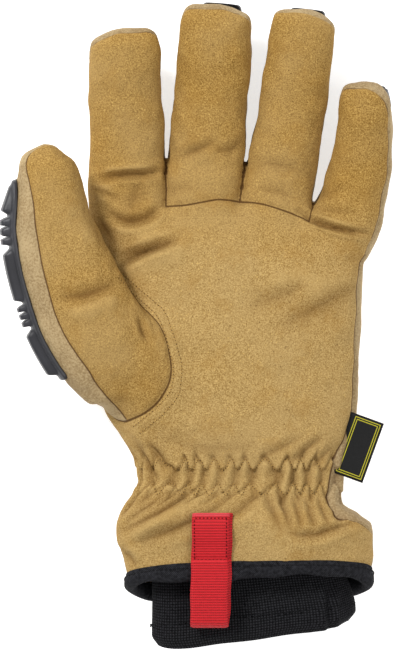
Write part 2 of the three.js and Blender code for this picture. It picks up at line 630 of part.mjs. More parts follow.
// A limb's section at a share of its length
function sectionAt(sections, share) {
  const lengths = [0];
  for (let k = 1; k < sections.length; k += 1) {
    lengths.push(lengths[k - 1] + sections[k].middle.distanceTo(sections[k - 1].middle));
  }
  const wanted = share * lengths.at(-1);
  const k = Math.max(lengths.findIndex((length) => length >= wanted), 1);
  const [a, b] = [sections[k - 1], sections[k]];
  const t = (wanted - lengths[k - 1]) / (lengths[k] - lengths[k - 1]);
  return {
    middle: a.middle.clone().lerp(b.middle, t),
    across: a.across.clone().lerp(b.across, t).normalize(),
    up: a.up.clone().lerp(b.up, t).normalize(),
    halfWidth: lerp(a.halfWidth, b.halfWidth, t),
    halfDepth: lerp(a.halfDepth, b.halfDepth, t),
  };
}

// Heights of a guard's raised part along its length, as shares of the blocks' height
function guardProfile() {
  const profile = [];
  let start = 0;
  GUARD_ZONES.forEach(({ kind, length }) => {
    const end = start + length;
    if (kind === "flange") profile.push({ at: start, raised: 0 }, { at: end, raised: 0 });
    if (kind === "block") {
      profile.push({ at: start + BLOCK_SLOPE, raised: 1 }, { at: end - BLOCK_SLOPE, raised: 1 });
    }
    if (kind === "ribs") {
      const pitch = length / (RIB_COUNT + 0.5);
      for (let i = 0; i <= RIB_COUNT; i += 1) {
        const valley = start + (i + 0.25) * pitch;
        profile.push({ at: valley, raised: RIB_VALLEY });
        if (i < RIB_COUNT) profile.push({ at: valley + pitch / 2, raised: 1 });
      }
    }
    start = end;
  });
  return profile.filter(({ at }, i) => i === 0 || at > profile[i - 1].at + 1e-6);
}

function guard({ limb: name, width, height, turn, from, to, rise }) {
  const sections = name === "thumb" ? THUMB : fingers.find((finger) => finger.name === name).sections;
  const outline = [
    { w: -1, level: 0, block: 0 },
    { w: -0.33, level: 0, block: 0 },
    { w: 0.33, level: 0, block: 0 },
    { w: 1, level: 0, block: 0 },
    { w: 1, level: GUARD_FLANGE, block: 0 },
    { w: BLOCK_SHARE, level: GUARD_FLANGE, block: 1 },
    { w: 0, level: GUARD_FLANGE, block: 1 },
    { w: -BLOCK_SHARE, level: GUARD_FLANGE, block: 1 },
    { w: -1, level: GUARD_FLANGE, block: 0 },
  ];
  return loft(guardProfile().map(({ at, raised }) => {
    const section = sectionAt(sections, lerp(from, to, at));
    const ending = Math.max(0, (at - GUARD_END) / (1 - GUARD_END));
    const halfSpread = width * (1 - END_NARROWING * ending * ending);
    const halfAngle = halfSpread / (section.halfWidth + section.halfDepth);
    const ease = GUARD_EASE + rise * height * ending;
    return outline.map(({ w, level, block }) => {
      const angle = radians(turn) + w * halfAngle;
      const u = power(Math.cos(angle), 2 / ROUND);
      const v = power(Math.sin(angle), 2 / ROUND);
      return onSection(section, u, v, ease + level + block * raised * height);
    });
  }));
}

const group = new THREE.Group();
group.add(
  meshOf("palm_panel", palmPanel, GOLD_SUEDE),
  meshOf("middle_finger_panel", middlePanel, GOLD_SUEDE),
  meshOf("ring_finger_panel", ringPanel, GOLD_SUEDE),
  meshOf("back_panel", backPanel, BEIGE_LEATHER),
  meshOf("thumb_palm_panel", thumbPalmPanel, GOLD_SUEDE),
  meshOf("thumb_back_panel", thumbBackPanel, BEIGE_LEATHER),
  meshOf("hem_binding", binding, BLACK_BINDING),
  meshOf("knit_cuff", knit, BLACK_KNIT),
  meshOf("pull_loop", pullLoop(), RED_WEBBING),
  meshOf("side_label", label(), BLACK_LABEL),
  ...GUARDS.map((made) => meshOf(`${made.limb}_guard`, guard(made), BLACK_RUBBER)),
);

// The origin is under the middle of the glove, on the surface that it lies on
const extent = new THREE.Box3().setFromObject(group);
group.position.set(-(extent.min.x + extent.max.x) / 2, -(extent.min.y + extent.max.y) / 2, -extent.min.z);

export default group;
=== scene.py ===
"""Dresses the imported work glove: leather panels with gathers, creases and stitches, and the trim sewn on.
Shapes are worked out in millimetres, x from the middle of the palm, y from the wrist line and z up out of
the palm, and are moved into the frame, in metres, when a piece is made."""
import math

import bpy
import numpy as np
import openvdb
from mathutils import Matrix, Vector
from mathutils.bvhtree import BVHTree


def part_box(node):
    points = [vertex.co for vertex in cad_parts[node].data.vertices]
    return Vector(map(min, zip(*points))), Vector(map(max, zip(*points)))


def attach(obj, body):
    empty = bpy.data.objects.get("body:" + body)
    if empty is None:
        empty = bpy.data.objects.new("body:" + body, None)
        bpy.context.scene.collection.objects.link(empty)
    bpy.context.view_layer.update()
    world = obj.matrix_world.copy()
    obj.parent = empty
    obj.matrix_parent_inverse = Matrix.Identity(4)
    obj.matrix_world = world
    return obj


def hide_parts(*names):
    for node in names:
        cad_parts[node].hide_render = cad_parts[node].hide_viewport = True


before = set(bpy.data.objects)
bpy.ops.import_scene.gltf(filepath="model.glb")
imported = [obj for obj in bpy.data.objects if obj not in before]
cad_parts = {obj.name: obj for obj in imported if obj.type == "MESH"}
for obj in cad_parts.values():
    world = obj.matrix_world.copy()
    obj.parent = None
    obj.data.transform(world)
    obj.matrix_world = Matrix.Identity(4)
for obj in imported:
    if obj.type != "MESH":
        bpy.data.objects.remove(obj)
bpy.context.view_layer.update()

# The frame
MM = 0.001
STRAP_START = -17.0
STRAP_SIDE = -19.5
loop_low, loop_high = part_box("pull_loop")
ORIGIN = np.array([loop_low.x - STRAP_SIDE * MM, loop_high.y - STRAP_START * MM, 0.0])

# The photograph: millimetres a pixel, and the pixel over the middle of the palm on the wrist line
PIXEL = 0.46
MIDDLE_PIXEL = (232.5, 480.0)
PICTURE = (401, 649)

# Shell
WALL = 3.0
PALM_LENGTH = 123.0
PALM_WIDTH = 120.0
PALM_DEPTH = 42.0
WRIST_LENGTH = 22.0
WRIST_WIDTH = 93.0
WRIST_DEPTH = 37.0
WRIST_SHIFT = 3.5
CUFF_LENGTH = 43.0
CUFF_WIDTH = 118.0
CUFF_DEPTH = 46.0
CUFF_SHIFT = 6.0
HEM_ARCH = 6.0
HEM_TILT = 1.4
ROUND = 2.3
SQUARE = 2.7

# Fingers and thumb
CURL = 18.0
ROOT_HEIGHT = 20.5
FINGER_DEPTH = 28.0
THUMB_REACH = 121.0
THUMB_WIDTH = 51.0
THUMB_DEPTH = 35.0
THUMB_LIFT = 19.0
THUMB_START = np.array([-0.693 * PALM_WIDTH / 2, 0.28 * PALM_LENGTH, 27.0])
THUMB_INNER_SEAM = -0.5
BODY_LEFT_SEAM = -0.1

# Fineness
VOXEL = 0.8
LINING_VOXEL = 2.0


def table(names, *rows):
    """Rows of numbers as one array for each named column."""
    return dict(zip(names.split(), np.array(rows, float).T))


def smooth(at, xs, ys):
    """Values at places along a smooth curve through the points xs, ys that never overshoots them."""
    step = np.diff(xs)
    rise = np.diff(ys) / step
    slope = np.zeros(len(xs))
    both = rise[:-1] * rise[1:]
    joined = np.where(both > 0, rise[:-1] + rise[1:], 1.0)
    slope[1:-1] = np.where(both > 0, 2 * both / joined, 0.0)
    slope[0], slope[-1] = rise[0], rise[-1]
    k = np.clip(np.searchsorted(xs, at) - 1, 0, len(step) - 1)
    t = np.clip((at - xs[k]) / step[k], 0, 1)
    start = (1 + 2 * t) * (1 - t) ** 2 * ys[k] + t * (1 - t) ** 2 * step[k] * slope[k]
    return start + t * t * (3 - 2 * t) * ys[k + 1] + t * t * (t - 1) * step[k] * slope[k + 1]


def fade(value, low, high):
    """0 at low, 1 at high and smooth between, whichever is the larger."""
    t = np.clip((value - low) / (high - low), 0, 1)
    return t * t * (3 - 2 * t)


def blend_min(a, b, width):
    """The smaller of two distances, with the crease between them filled over that width."""
    near = np.maximum(width - np.abs(a - b), 0) / width
    return np.minimum(a, b) - near * near * width / 4


def blend_max(a, b, width):
    return -blend_min(-a, -b, width)


def wander(at, seed, scale):
    """A smooth random line about zero, at places along it, with bends about scale long."""
    random = np.random.default_rng(seed)
    total = np.zeros_like(at, dtype=float)
    for _ in range(5):
        length = scale * random.uniform(0.6, 2.2)
        total += random.uniform(0.5, 1) * np.sin(2 * np.pi * at / length + random.uniform(0, 2 * np.pi))
    return total / 3


def lumps(points, seed, scale):
    """Smooth random lumps about zero in space, about scale across."""
    random = np.random.default_rng(seed)
    total = np.zeros(len(points))
    for _ in range(14):
        way = random.normal(size=3)
        way /= np.linalg.norm(way) * scale * random.uniform(0.6, 1.8)
        total += np.sin(2 * np.pi * points @ way + random.uniform(0, 2 * np.pi))
    return total / 5


def spot(px, py):
    """The place in the palm's plane under a pixel of the photograph."""
    across, up = np.asarray(px, float) - MIDDLE_PIXEL[0], MIDDLE_PIXEL[1] - np.asarray(py, float)
    return np.stack([across * PIXEL, up * PIXEL], -1)


def lengths_along(line):
    """How far along a row of points each one lies."""
    return np.concatenate([[0], np.cumsum(np.linalg.norm(np.diff(line, axis=0), axis=1))])


def superellipse(angle, exponent):
    """The place on a rounded section at an angle, as shares of its half sizes."""
    cos, sin = np.cos(angle), np.sin(angle)
    return np.sign(cos) * np.abs(cos) ** (2 / exponent), np.sign(sin) * np.abs(sin) ** (2 / exponent)


# Body of the shell: sections from the hem to the knuckles. left and right are shares of half the zone's
# width, front and back heights as shares of its depth, hem how much of the hem's slope a section has, and
# seam the height of the little finger's side seam over the middle as a share of half the depth.
COLUMNS = "along left right front back hem seam"
CUFF = table(
    COLUMNS,
    (-1.0, -0.92, 0.975, 0.95, 0.05, 1, 0.15),
    (-0.82, -0.95, 1.0, 0.97, -0.03, 0.85, 0.15),
    (-0.64, -1.0, 1.0, 1.0, -0.04, 0.6, 0.2),
    (-0.48, -1.01, 0.98, 1.01, -0.02, 0.35, 0.6),
    (-0.37, -0.99, 0.88, 0.98, 0.02, 0.2, 0.8),
)
WRIST = table(
    COLUMNS,
    (-0.5, -1.15, 1.01, 1.12, 0.07, 0.1, 0.66),
    (-0.25, -1.06, 0.99, 1.02, 0.12, 0, 0.68),
    (0, -1.0, 1.0, 1.0, 0.13, 0, 0.68),
    (0.3, -1.02, 1.01, 1.02, 0.12, 0, 0.65),
    (0.58, -1.08, 1.05, 1.05, 0.1, 0, 0.6),
)
PALM = table(
    COLUMNS,
    (0.17, -0.87, 0.917, 0.95, 0.03, 0, 0.5),
    (0.25, -0.97, 0.955, 0.97, -0.02, 0, 0.42),
    (0.34, -1.02, 0.96, 0.99, -0.05, 0, 0.4),
    (0.49, -1.0, 0.97, 1.0, -0.06, 0, 0.4),
    (0.64, -0.99, 0.985, 0.98, -0.06, 0, 0.4),
    (0.77, -1.0, 1.0, 0.97, -0.04, 0, 0.4),
    (0.9, -1.02, 1.02, 0.91, 0.04, 0, 0.4),
    (1.0, -1.03, 1.06, 0.78, 0.22, 0, 0.4),
)
ZONES = (
    (CUFF, CUFF_LENGTH, CUFF_WIDTH, CUFF_DEPTH, CUFF_SHIFT),
    (WRIST, WRIST_LENGTH, WRIST_WIDTH, WRIST_DEPTH, WRIST_SHIFT),
    (PALM, PALM_LENGTH, PALM_WIDTH, PALM_DEPTH, 0.0),
)


def body_stations():
    """The body's sections in millimetres, as one table for all zones."""
    made = {name: [] for name in "y left right front back hem seam".split()}
    for rows, length, width, depth, shift in ZONES:
        made["y"].append(rows["along"] * length)
        made["left"].append(shift + rows["left"] * width / 2)
        made["right"].append(shift + rows["right"] * width / 2)
        made["front"].append(rows["front"] * depth)
        made["back"].append(rows["back"] * depth)
        for name in ("hem", "seam"):
            made[name].append(rows[name])
    return {name: np.concatenate(parts) for name, parts in made.items()}


BODY = body_stations()
HEM = -CUFF_LENGTH
PAST_HEM = 6.0  # how far the skin runs on before it is cut open at the hem
KNUCKLE_END = 2.0  # how far the body runs past the knuckle line
KNUCKLE_ROUND = 6.0


def body_at(name, y):
    return smooth(y, BODY["y"], BODY[name])


def body_middle(y):
    """Middle and half sizes of the body's section at y: x, z, half width, half depth."""
    left, right, front, back = (body_at(name, y) for name in ("left", "right", "front", "back"))
    return (left + right) / 2, (front + back) / 2, (right - left) / 2, (front - back) / 2


def body_section(y):
    """The same for one place, as plain numbers."""
    return tuple(float(value[0]) for value in body_middle(np.array([y])))


def oval_distance(u, v, half_width, half_depth, exponent):
    """Distance from a superellipse, from a place given as shares of its half sizes."""
    across, up = np.abs(u) + 1e-6, np.abs(v) + 1e-6
    reach = np.maximum((across**exponent + up**exponent) ** (1 / exponent), 0.05)
    steep = np.hypot(across ** (exponent - 1) / half_width, up ** (exponent - 1) / half_depth)
    return (reach - 1) / np.maximum(steep * reach ** (1 - exponent), 1e-3)


def body_local(points):
    """A place in the body: shares u and v, station y, which the sloping hem shifts, and half sizes."""
    x, y, z = points[..., 0], points[..., 1], points[..., 2]
    cx, cz, half_width, half_depth = body_middle(y)
    share = body_at("hem", y)
    u, v = np.clip((x - cx) / half_width, -1, 1), np.clip((z - cz) / half_depth, -1, 1)
    station = y - share * (HEM_ARCH * v + HEM_TILT * u)
    cx, cz, half_width, half_depth = body_middle(station)
    return (x - cx) / half_width, (z - cz) / half_depth, station, half_width, half_depth


def body_distance(points):
    u, v, station, half_width, half_depth = body_local(points)
    away = oval_distance(u, v, half_width, half_depth, SQUARE)
    away = blend_max(away, points[..., 1] - PALM_LENGTH - KNUCKLE_END, KNUCKLE_ROUND)
    return np.maximum(away, HEM - PAST_HEM - station)


TIP_ROUND = 2.5
PAST_SIDE = 1.5  # where a tip's slant stops growing, as a share of half the width


class Limb:
    """A finger or the thumb as a row of sections: middle, directions, half sizes and seam heights. The seam
    heights are those at reach beside the section, and cuts are how much shorter the tip is at its left and
    right sides."""

    def __init__(self, middles, half_width, half_depth, left_seam, right_seam, share, reach, cuts=(0, 0)):
        self.reach = reach
        self.cuts = cuts
        self.middle = middles
        ways = np.gradient(middles, axis=0)
        self.along = ways / np.linalg.norm(ways, axis=1)[:, None]
        across = np.cross(self.along, [0, 0, 1])
        self.across = across / np.linalg.norm(across, axis=1)[:, None]
        self.up = np.cross(self.across, self.along)
        self.sizes = np.stack([half_width, half_depth, left_seam, right_seam, share], 1)

    def box(self, spare):
        reach = self.sizes[:, :2].max() + spare
        return self.middle.min(0) - reach, self.middle.max(0) + reach

    def section(self, place):
        """Everything about the sections at fractional row numbers."""
        k = np.clip(place.astype(int), 0, len(self.middle) - 2)
        t = (place - k)[:, None]
        columns = (self.middle, self.across, self.up, self.sizes)
        return [rows[k] * (1 - t) + rows[k + 1] * t for rows in columns]

    def local(self, points):
        """Where points lie by the limb: distance, share u of half the width, height over the middle and over
        the seam, share of the length, and how far it is to the tip."""
        ahead = np.stack([(points - m) @ a for m, a in zip(self.middle, self.along)])
        k = np.clip((ahead > 0).sum(0) - 1, 0, len(self.middle) - 2)
        here = np.arange(len(points))
        first, second = ahead[k, here], ahead[k + 1, here]
        t = np.clip(first / np.maximum(first - second, 1e-6), 0, 1)
        middle, across, up, sizes = self.section(k + t)
        half_width, half_depth, left, right, share = sizes.T
        u = ((points - middle) * across).sum(1) / half_width
        v = ((points - middle) * up).sum(1) / half_depth
        away = oval_distance(u, v, half_width, half_depth, ROUND)
        left_cut, right_cut = self.cuts
        shorter = left_cut * np.clip(-u, 0, PAST_SIDE) ** 2 + right_cut * np.clip(u, 0, PAST_SIDE) ** 2
        past = ahead[-1] + shorter
        away = blend_max(away, np.maximum(-ahead[0], past), TIP_ROUND)
        across = (u * half_width + half_width + self.reach) / (2 * (half_width + self.reach))
        seam = left + (right - left) * np.clip(across, 0, 1)
        return {
            "away": away,
            "u": u,
            "high": v * half_depth,
            "over_seam": (v - seam) * half_depth,
            "share": share,
            "left": -past,
        }

    def place_at(self, share):
        """Row numbers at shares of the limb's length from its first section."""
        lengths = lengths_along(self.middle)
        return np.interp(share * lengths[-1], lengths, np.arange(len(lengths)))


FINGER_ROWS = table(
    "along width depth curl",
    (-0.16, 0.9, 0.9, 0),
    (0, 1.1, 1.0, 0),
    (0.14, 1.11, 1.0, 0.012),
    (0.23, 1.05, 0.92, 0.035),
    (0.34, 1.03, 0.98, 0.08),
    (0.5, 1.01, 0.96, 0.2),
    (0.66, 1.0, 0.93, 0.38),
    (0.8, 0.99, 0.88, 0.6),
    (0.91, 0.965, 0.76, 0.8),
    (0.965, 0.89, 0.6, 0.93),
    (1.0, 0.71, 0.33, 1.0),
)
# root is a share of half the palm's width, drop one of its length, bow one of the finger's length and lean in
# degrees. The tip is shifted sideways by nudge and cut back at its sides by cuts, in millimetres.
FINGERS = {
    "index": dict(
        length=84, width=34.0, root=-0.79, drop=0.008, lean=-1.8, bow=0, taper=0.97, seams=(-0.05, -0.1),
        nudge=1.0, cuts=(6, 0),
    ),
    "middle": dict(
        length=91, width=34.0, root=-0.23, drop=-0.024, lean=4.6, bow=0, taper=1, seams=(0, 0),
        nudge=-0.6, cuts=(0.5, 3.5),
    ),
    "ring": dict(
        length=93, width=31.0, root=0.3, drop=0, lean=9.5, bow=0.016, taper=1, seams=(0, 0.05),
        nudge=-0.8, cuts=(1, 5),
    ),
    "little": dict(
        length=66, width=29.0, root=0.85, drop=0.061, lean=8.5, bow=0.053, taper=0.75, seams=(-0.1, 0.6),
        nudge=-0.8, cuts=(0, 6),
    ),
}
FINGER_SECTIONS = 34
FINGER_CROWDING = 1.4  # how much closer the sections stand towards the tip
FINGER_SPAN = 1.16  # the sections' length with the stretch inside the palm, as a share of the finger's
NUDGE_START = 0.75
THUMB_SECTIONS = 40
FINGER_REACH = 0.8
THUMB_BLOCK_REACH = 6.0
THUMB_CUTS = (4, 0)
THUMB_ROWS = table(
    "out up lift width depth seam",
    (0.018, -0.05, 0, 0.42, 0.35, 1.2),
    (0.02, 0.01, 0.16, 0.63, 0.52, 1.3),
    (0.035, 0.08, 0.32, 0.8, 0.7, 1.35),
    (0.08, 0.15, 0.47, 0.9, 0.84, 1.4),
    (0.15, 0.24, 0.61, 0.93, 0.96, 1.45),
    (0.21, 0.34, 0.68, 0.92, 1.0, 1.42),
    (0.262, 0.46, 0.74, 0.88, 0.95, 1.5),
    (0.315, 0.6, 0.8, 0.8, 0.9, 1.65),
    (0.342, 0.7, 0.85, 0.72, 0.86, 1.75),
    (0.347, 0.785, 0.89, 0.65, 0.82, 1.65),
    (0.352, 0.867, 0.95, 0.57, 0.74, 1.35),
    (0.363, 0.935, 0.97, 0.42, 0.58, 1.05),
    (0.361, 0.985, 1.0, 0.18, 0.24, 0.9),
)


def finger_limb(length, width, root, drop, lean, bow, taper, seams, nudge, cuts):
    along = 1 - (1 - np.linspace(0, 1, FINGER_SECTIONS)) ** FINGER_CROWDING * FINGER_SPAN
    start = np.array([root * PALM_WIDTH / 2, (1 - drop) * PALM_LENGTH, ROOT_HEIGHT])
    ahead = np.maximum(along, 0)
    sideways = bow * length * np.sin(np.pi * ahead) + nudge * fade(ahead, NUDGE_START, 1)
    turn = math.radians(lean)
    middles = start + np.stack(
        [
            along * length * math.sin(turn) + sideways * math.cos(turn),
            along * length * math.cos(turn) - sideways * math.sin(turn),
            CURL * smooth(along, FINGER_ROWS["along"], FINGER_ROWS["curl"]),
        ],
        1,
    )
    narrow = 1 + (taper - 1) * ahead**3
    half_width = width / 2 * narrow * smooth(along, FINGER_ROWS["along"], FINGER_ROWS["width"])
    half_depth = FINGER_DEPTH / 2 * smooth(along, FINGER_ROWS["along"], FINGER_ROWS["depth"])
    rest = np.ones_like(along)
    return Limb(middles, half_width, half_depth, seams[0] * rest, seams[1] * rest, along, FINGER_REACH, cuts)


def thumb_limb():
    rows = np.arange(len(THUMB_ROWS["out"]), dtype=float)
    fine = np.linspace(0, rows[-1], THUMB_SECTIONS)
    out, up, lift, width, depth, seam = (smooth(fine, rows, THUMB_ROWS[name]) for name in THUMB_ROWS)
    middles = THUMB_START + np.stack([-out * THUMB_REACH, up * THUMB_REACH, lift * THUMB_LIFT], 1)
    inner = np.full_like(fine, THUMB_INNER_SEAM)
    share = fine / rows[-1]
    half_width, half_depth = width * THUMB_WIDTH / 2, depth * THUMB_DEPTH / 2
    return Limb(middles, half_width, half_depth, seam, inner, share, THUMB_BLOCK_REACH, THUMB_CUTS)


LIMBS = {name: finger_limb(**facts) for name, facts in FINGERS.items()}
THUMB = thumb_limb()

# How much the crease between two forms is filled, in millimetres
CROTCH_FILL = 1.2
KNUCKLE_FILL = 6.0
THUMB_FILL = 1.5
THUMB_ROOT_FILL = 15.0
THUMB_ROOT_SHARES = (0.4, 0.24)  # where the fill fades out and in along the thumb
THUMB_INNER_SHARES = (-0.8, 0.1)  # and across it
REST_FILL = 2.0
# The lining lies deeper where the leather has deep folds: places along the glove, and millimetres
LINING_EASE = ((HEM + 12, -24.0, -14.0, 4.0), (0.0, 0.8, 1.8, 4.0))
KNIT_COVERS = (-14.0, 4.0)  # the knit hides the lining between these places along the glove
GRID_LOW = np.array([-110.0, -56.0, -4.0])
GRID_HIGH = np.array([80.0, 222.0, 64.0])
FAR = 30.0  # more than any distance that is used
BOX_SPARE = 5
BODY_SPARE = 12


def thumb_fill(thumb):
    """The thumb grows out of the palm at its root's inner side and lies over the palm further up."""
    root = fade(thumb["share"], *THUMB_ROOT_SHARES) * fade(thumb["u"], *THUMB_INNER_SHARES)
    return THUMB_FILL + (THUMB_ROOT_FILL - THUMB_FILL) * root


def skin_field(voxel, inset):
    """Distances from the glove's skin, moved in by inset, on a grid."""
    counts = np.ceil((GRID_HIGH - GRID_LOW) / voxel).astype(int)
    axes = [GRID_LOW[k] + voxel * np.arange(counts[k]) for k in range(3)]
    field = np.full(counts, FAR, np.float32)

    def window(low, high):
        return tuple(slice(*np.searchsorted(axes[k], (low[k], high[k]))) for k in range(3))

    def places(part):
        return np.stack(np.meshgrid(*(axes[k][part[k]] for k in range(3)), indexing="ij"), -1)

    fingers = np.full(counts, FAR, np.float32)
    for limb in LIMBS.values():
        part = window(*limb.box(BOX_SPARE))
        spots = places(part)
        away = limb.local(spots.reshape(-1, 3))["away"].reshape(spots.shape[:3])
        fingers[part] = blend_min(fingers[part], away, CROTCH_FILL)
    part = window(GRID_LOW, (GRID_HIGH[0], PALM_LENGTH + BODY_SPARE, GRID_HIGH[2]))
    field[part] = body_distance(places(part))
    field = blend_min(field, fingers, KNUCKLE_FILL)
    part = window(*THUMB.box(BOX_SPARE))
    spots = places(part)
    thumb = THUMB.local(spots.reshape(-1, 3))
    away = thumb["away"].reshape(spots.shape[:3])
    field[part] = blend_min(field[part], away, thumb_fill(thumb).reshape(spots.shape[:3]))
    floor = -axes[2][None, None, :]
    deeper = np.interp(axes[1], *LINING_EASE)[None, :, None] if inset else 0.0
    return blend_max(field, floor, REST_FILL) + inset + deeper


def surface(field, voxel):
    """The surface where a field is zero, as points and triangles that face out."""
    band = 3 * voxel
    grid = openvdb.FloatGrid(band)
    grid.copyFromArray(np.clip(field, -band, band).astype(np.float32))
    points, quads = grid.convertToQuads(0.0)
    quads = quads.astype(int)
    points = points * voxel + GRID_LOW
    faces = np.concatenate([quads[:, [0, 1, 2]], quads[:, [0, 2, 3]]])
    a, b, c = (points[faces[:, k]] for k in range(3))
    if (np.cross(a, b) * c).sum() < 0:
        faces = faces[:, ::-1]
    return points, faces


def normals_of(points, faces):
    a, b, c = (points[faces[:, k]] for k in range(3))
    face = np.cross(b - a, c - a)
    total = np.zeros_like(points)
    for k in range(3):
        np.add.at(total, faces[:, k], face)
    return total / np.maximum(np.linalg.norm(total, axis=1), 1e-9)[:, None]


def cut(points, faces, fields, by):
    """Cuts faces along the line where one field is zero. Returns the points and fields with the new ones
    added, and the faces on the positive and on the negative side."""
    value = fields[by]
    side = value > 0
    count = side[faces].sum(1)
    mixed = faces[(count == 1) | (count == 2)]
    alone = side[mixed].sum(1) == 1
    lone = np.argmax(side[mixed] == alone[:, None], axis=1)
    row = np.arange(len(mixed))
    a, b, c = (mixed[row, (lone + k) % 3] for k in range(3))
    edges = np.sort(np.concatenate([np.stack([a, b], 1), np.stack([a, c], 1)]), axis=1)
    unique, where = np.unique(edges, axis=0, return_inverse=True)
    start, end = unique.T
    t = value[start] / (value[start] - value[end])
    added = points[start] + t[:, None] * (points[end] - points[start])
    fresh = {name: np.concatenate([v, v[start] + t * (v[end] - v[start])]) for name, v in fields.items()}
    fresh[by][len(value):] = 0
    index = len(points) + where.reshape(-1)
    ab, ac = index[: len(mixed)], index[len(mixed):]
    tips = np.stack([a, ab, ac], 1)
    rests = np.concatenate([np.stack([ab, b, c], 1), np.stack([ab, c, ac], 1)])
    twice = np.concatenate([alone, alone])
    positive = np.concatenate([faces[count == 3], tips[alone], rests[~twice]])
    negative = np.concatenate([faces[count == 0], tips[~alone], rests[twice]])
    return np.concatenate([points, added]), fresh, positive, negative


# Seam at the foot of the middle and ring fingers' own panels, as photograph pixels
FOOT_SEAM = table(
    "px py",
    (150, 206),
    (161, 206),
    (180, 206),
    (200, 203),
    (220, 200),
    (237, 201),
    (260, 204),
    (280, 210),
    (300, 217),
    (312, 222),
)
# Foot of the seam between the thumb's two panels, as photograph pixels
THUMB_FOOT = table("px py", (60, 325), (75, 350), (95, 382), (110, 400), (128, 423), (146, 446))
THUMB_FOOT_HEIGHTS = spot([0, 0], [366, 388])[:, 1]
THUMB_FOOT_DEPTH = 3  # how far under the thumb's middle the foot's seam reaches
PLAN_SLOPE = 0.8  # distance from a seam for a millimetre across it in the palm's plane
TIP_WRAP = 1.4
TIP_SLOPE = 0.9
SEAM_BLEND = 1.5  # over how far a finger's seam runs into the body's


def panel_fields(points):
    """Signed distances from the seams at each point of the skin, and how much of each form is there."""
    u, v, station, _, half_depth = body_local(points)
    share = (np.clip(u, -1, 1) + 1) / 2
    seam = BODY_LEFT_SEAM + (body_at("seam", station) - BODY_LEFT_SEAM) * share
    body = body_distance(points)
    fronts = [(v - seam) * half_depth]
    aways = [body]
    limbs = {}
    for name, limb in LIMBS.items():
        found = limb.local(points)
        limbs[name] = found
        fronts.append(np.minimum(found["over_seam"], found["left"] + TIP_SLOPE * found["high"] - TIP_WRAP))
        aways.append(found["away"])
    weights = np.exp(-np.clip(np.stack(aways), -4, 40) / SEAM_BLEND)
    front = (weights * np.stack(fronts)).sum(0) / weights.sum(0)
    away = {name: found["away"] for name, found in limbs.items()}
    feet = spot(FOOT_SEAM["px"], FOOT_SEAM["py"])
    over_foot = points[:, 1] - smooth(points[:, 0], feet[:, 0], feet[:, 1])
    rest = blend_min(body, np.minimum.reduce(list(away.values())), KNUCKLE_FILL)
    thumb = THUMB.local(points)
    foot = spot(THUMB_FOOT["px"], THUMB_FOOT["py"])[::-1]
    past_foot = PLAN_SLOPE * (points[:, 0] - np.interp(points[:, 1], foot[:, 1], foot[:, 0]))
    past_foot = np.minimum(past_foot, thumb["high"] + THUMB_FOOT_DEPTH)
    at_foot = fade(points[:, 1], *THUMB_FOOT_HEIGHTS)
    index, middle, ring, little = (away[name] for name in ("index", "middle", "ring", "little"))
    return {
        "front": front,
        "middle": np.minimum.reduce([index - middle, ring - middle, over_foot]),
        "ring": np.minimum.reduce([middle - ring, little - ring, over_foot]),
        "thumb": rest - thumb["away"],
        "thumb_front": thumb["over_seam"] * (1 - at_foot) + past_foot * at_foot,
        "thumb_share": thumb["share"],
        "body_u": u,
        "body_v": v,
        "station": station,
        "mouth": station - HEM,
    }


# Gathers round the elasticated wrist: two rows of stitches run in waves, and the leather stands proud above a
# wave's low places, below its high ones, and the other way round at the lower row
PLEATS = 28
GATHER_ROWS = spot([0, 0], [464, 488.5])[:, 1]
GATHER_DEPTH = 2.9
GATHER_LEVEL = 0.62  # the plain leather's level, as a share of a ridge's height
GATHER_UNEVEN = 0.35
GATHER_PINCH = 0.9
PINCH_WIDTH = 1.1
PINCH_SHADE = 0.35
GATHER_WAVE = 2.5
GATHER_STEP = 0.8
FAN = 0.016
FAN_WEIGHTS = (0.3, 0.9)  # what a millimetre below the upper and the lower row adds
FAN_ACROSS = (0.6, -0.2)
PLEAT_SHIFT = 0.4
PLEAT_BEND = 0.14
PLEAT_LEAST = (3.0, 4.5, 0.6)  # a pleat's reach up and down, and its strength
PLEAT_MOST = (9.0, 11.0, 1.15)
SPARE_PLEATS = 4


def round_share(u, v):
    """How far round the body's section a place is, from 0 to 1, by length along the wrist."""
    _, _, half_width, half_depth = body_section(0.0)
    angle = np.linspace(-np.pi, np.pi, 721)
    across, up = superellipse(angle, SQUARE)
    steps = np.hypot(np.diff(half_width * across), np.diff(half_depth * up))
    length = np.concatenate([[0], np.cumsum(steps)])
    here = np.arctan2(np.sign(v) * np.abs(v) ** (SQUARE / 2), np.sign(u) * np.abs(u) ** (SQUARE / 2))
    return np.interp(here, angle, length / length[-1])


def pleat_wave(u, v, y):
    """Where a place is in the gathers' waves, from -1 to 1, and which pleat it is in. Below the rows the
    pleats fan out towards the thumb's side."""
    below = sum(np.maximum(row - y, 0) * weight for row, weight in zip(GATHER_ROWS, FAN_WEIGHTS))
    along = u + FAN * below * fade(u, *FAN_ACROSS) * (v > 0)
    turn = round_share(along, v) * PLEATS
    turn = turn + PLEAT_SHIFT * wander(turn, 3, 4.0) + PLEAT_BEND * wander(y + 7 * turn, 5, 9.0)
    return np.cos(2 * np.pi * turn), np.floor(turn).astype(int)


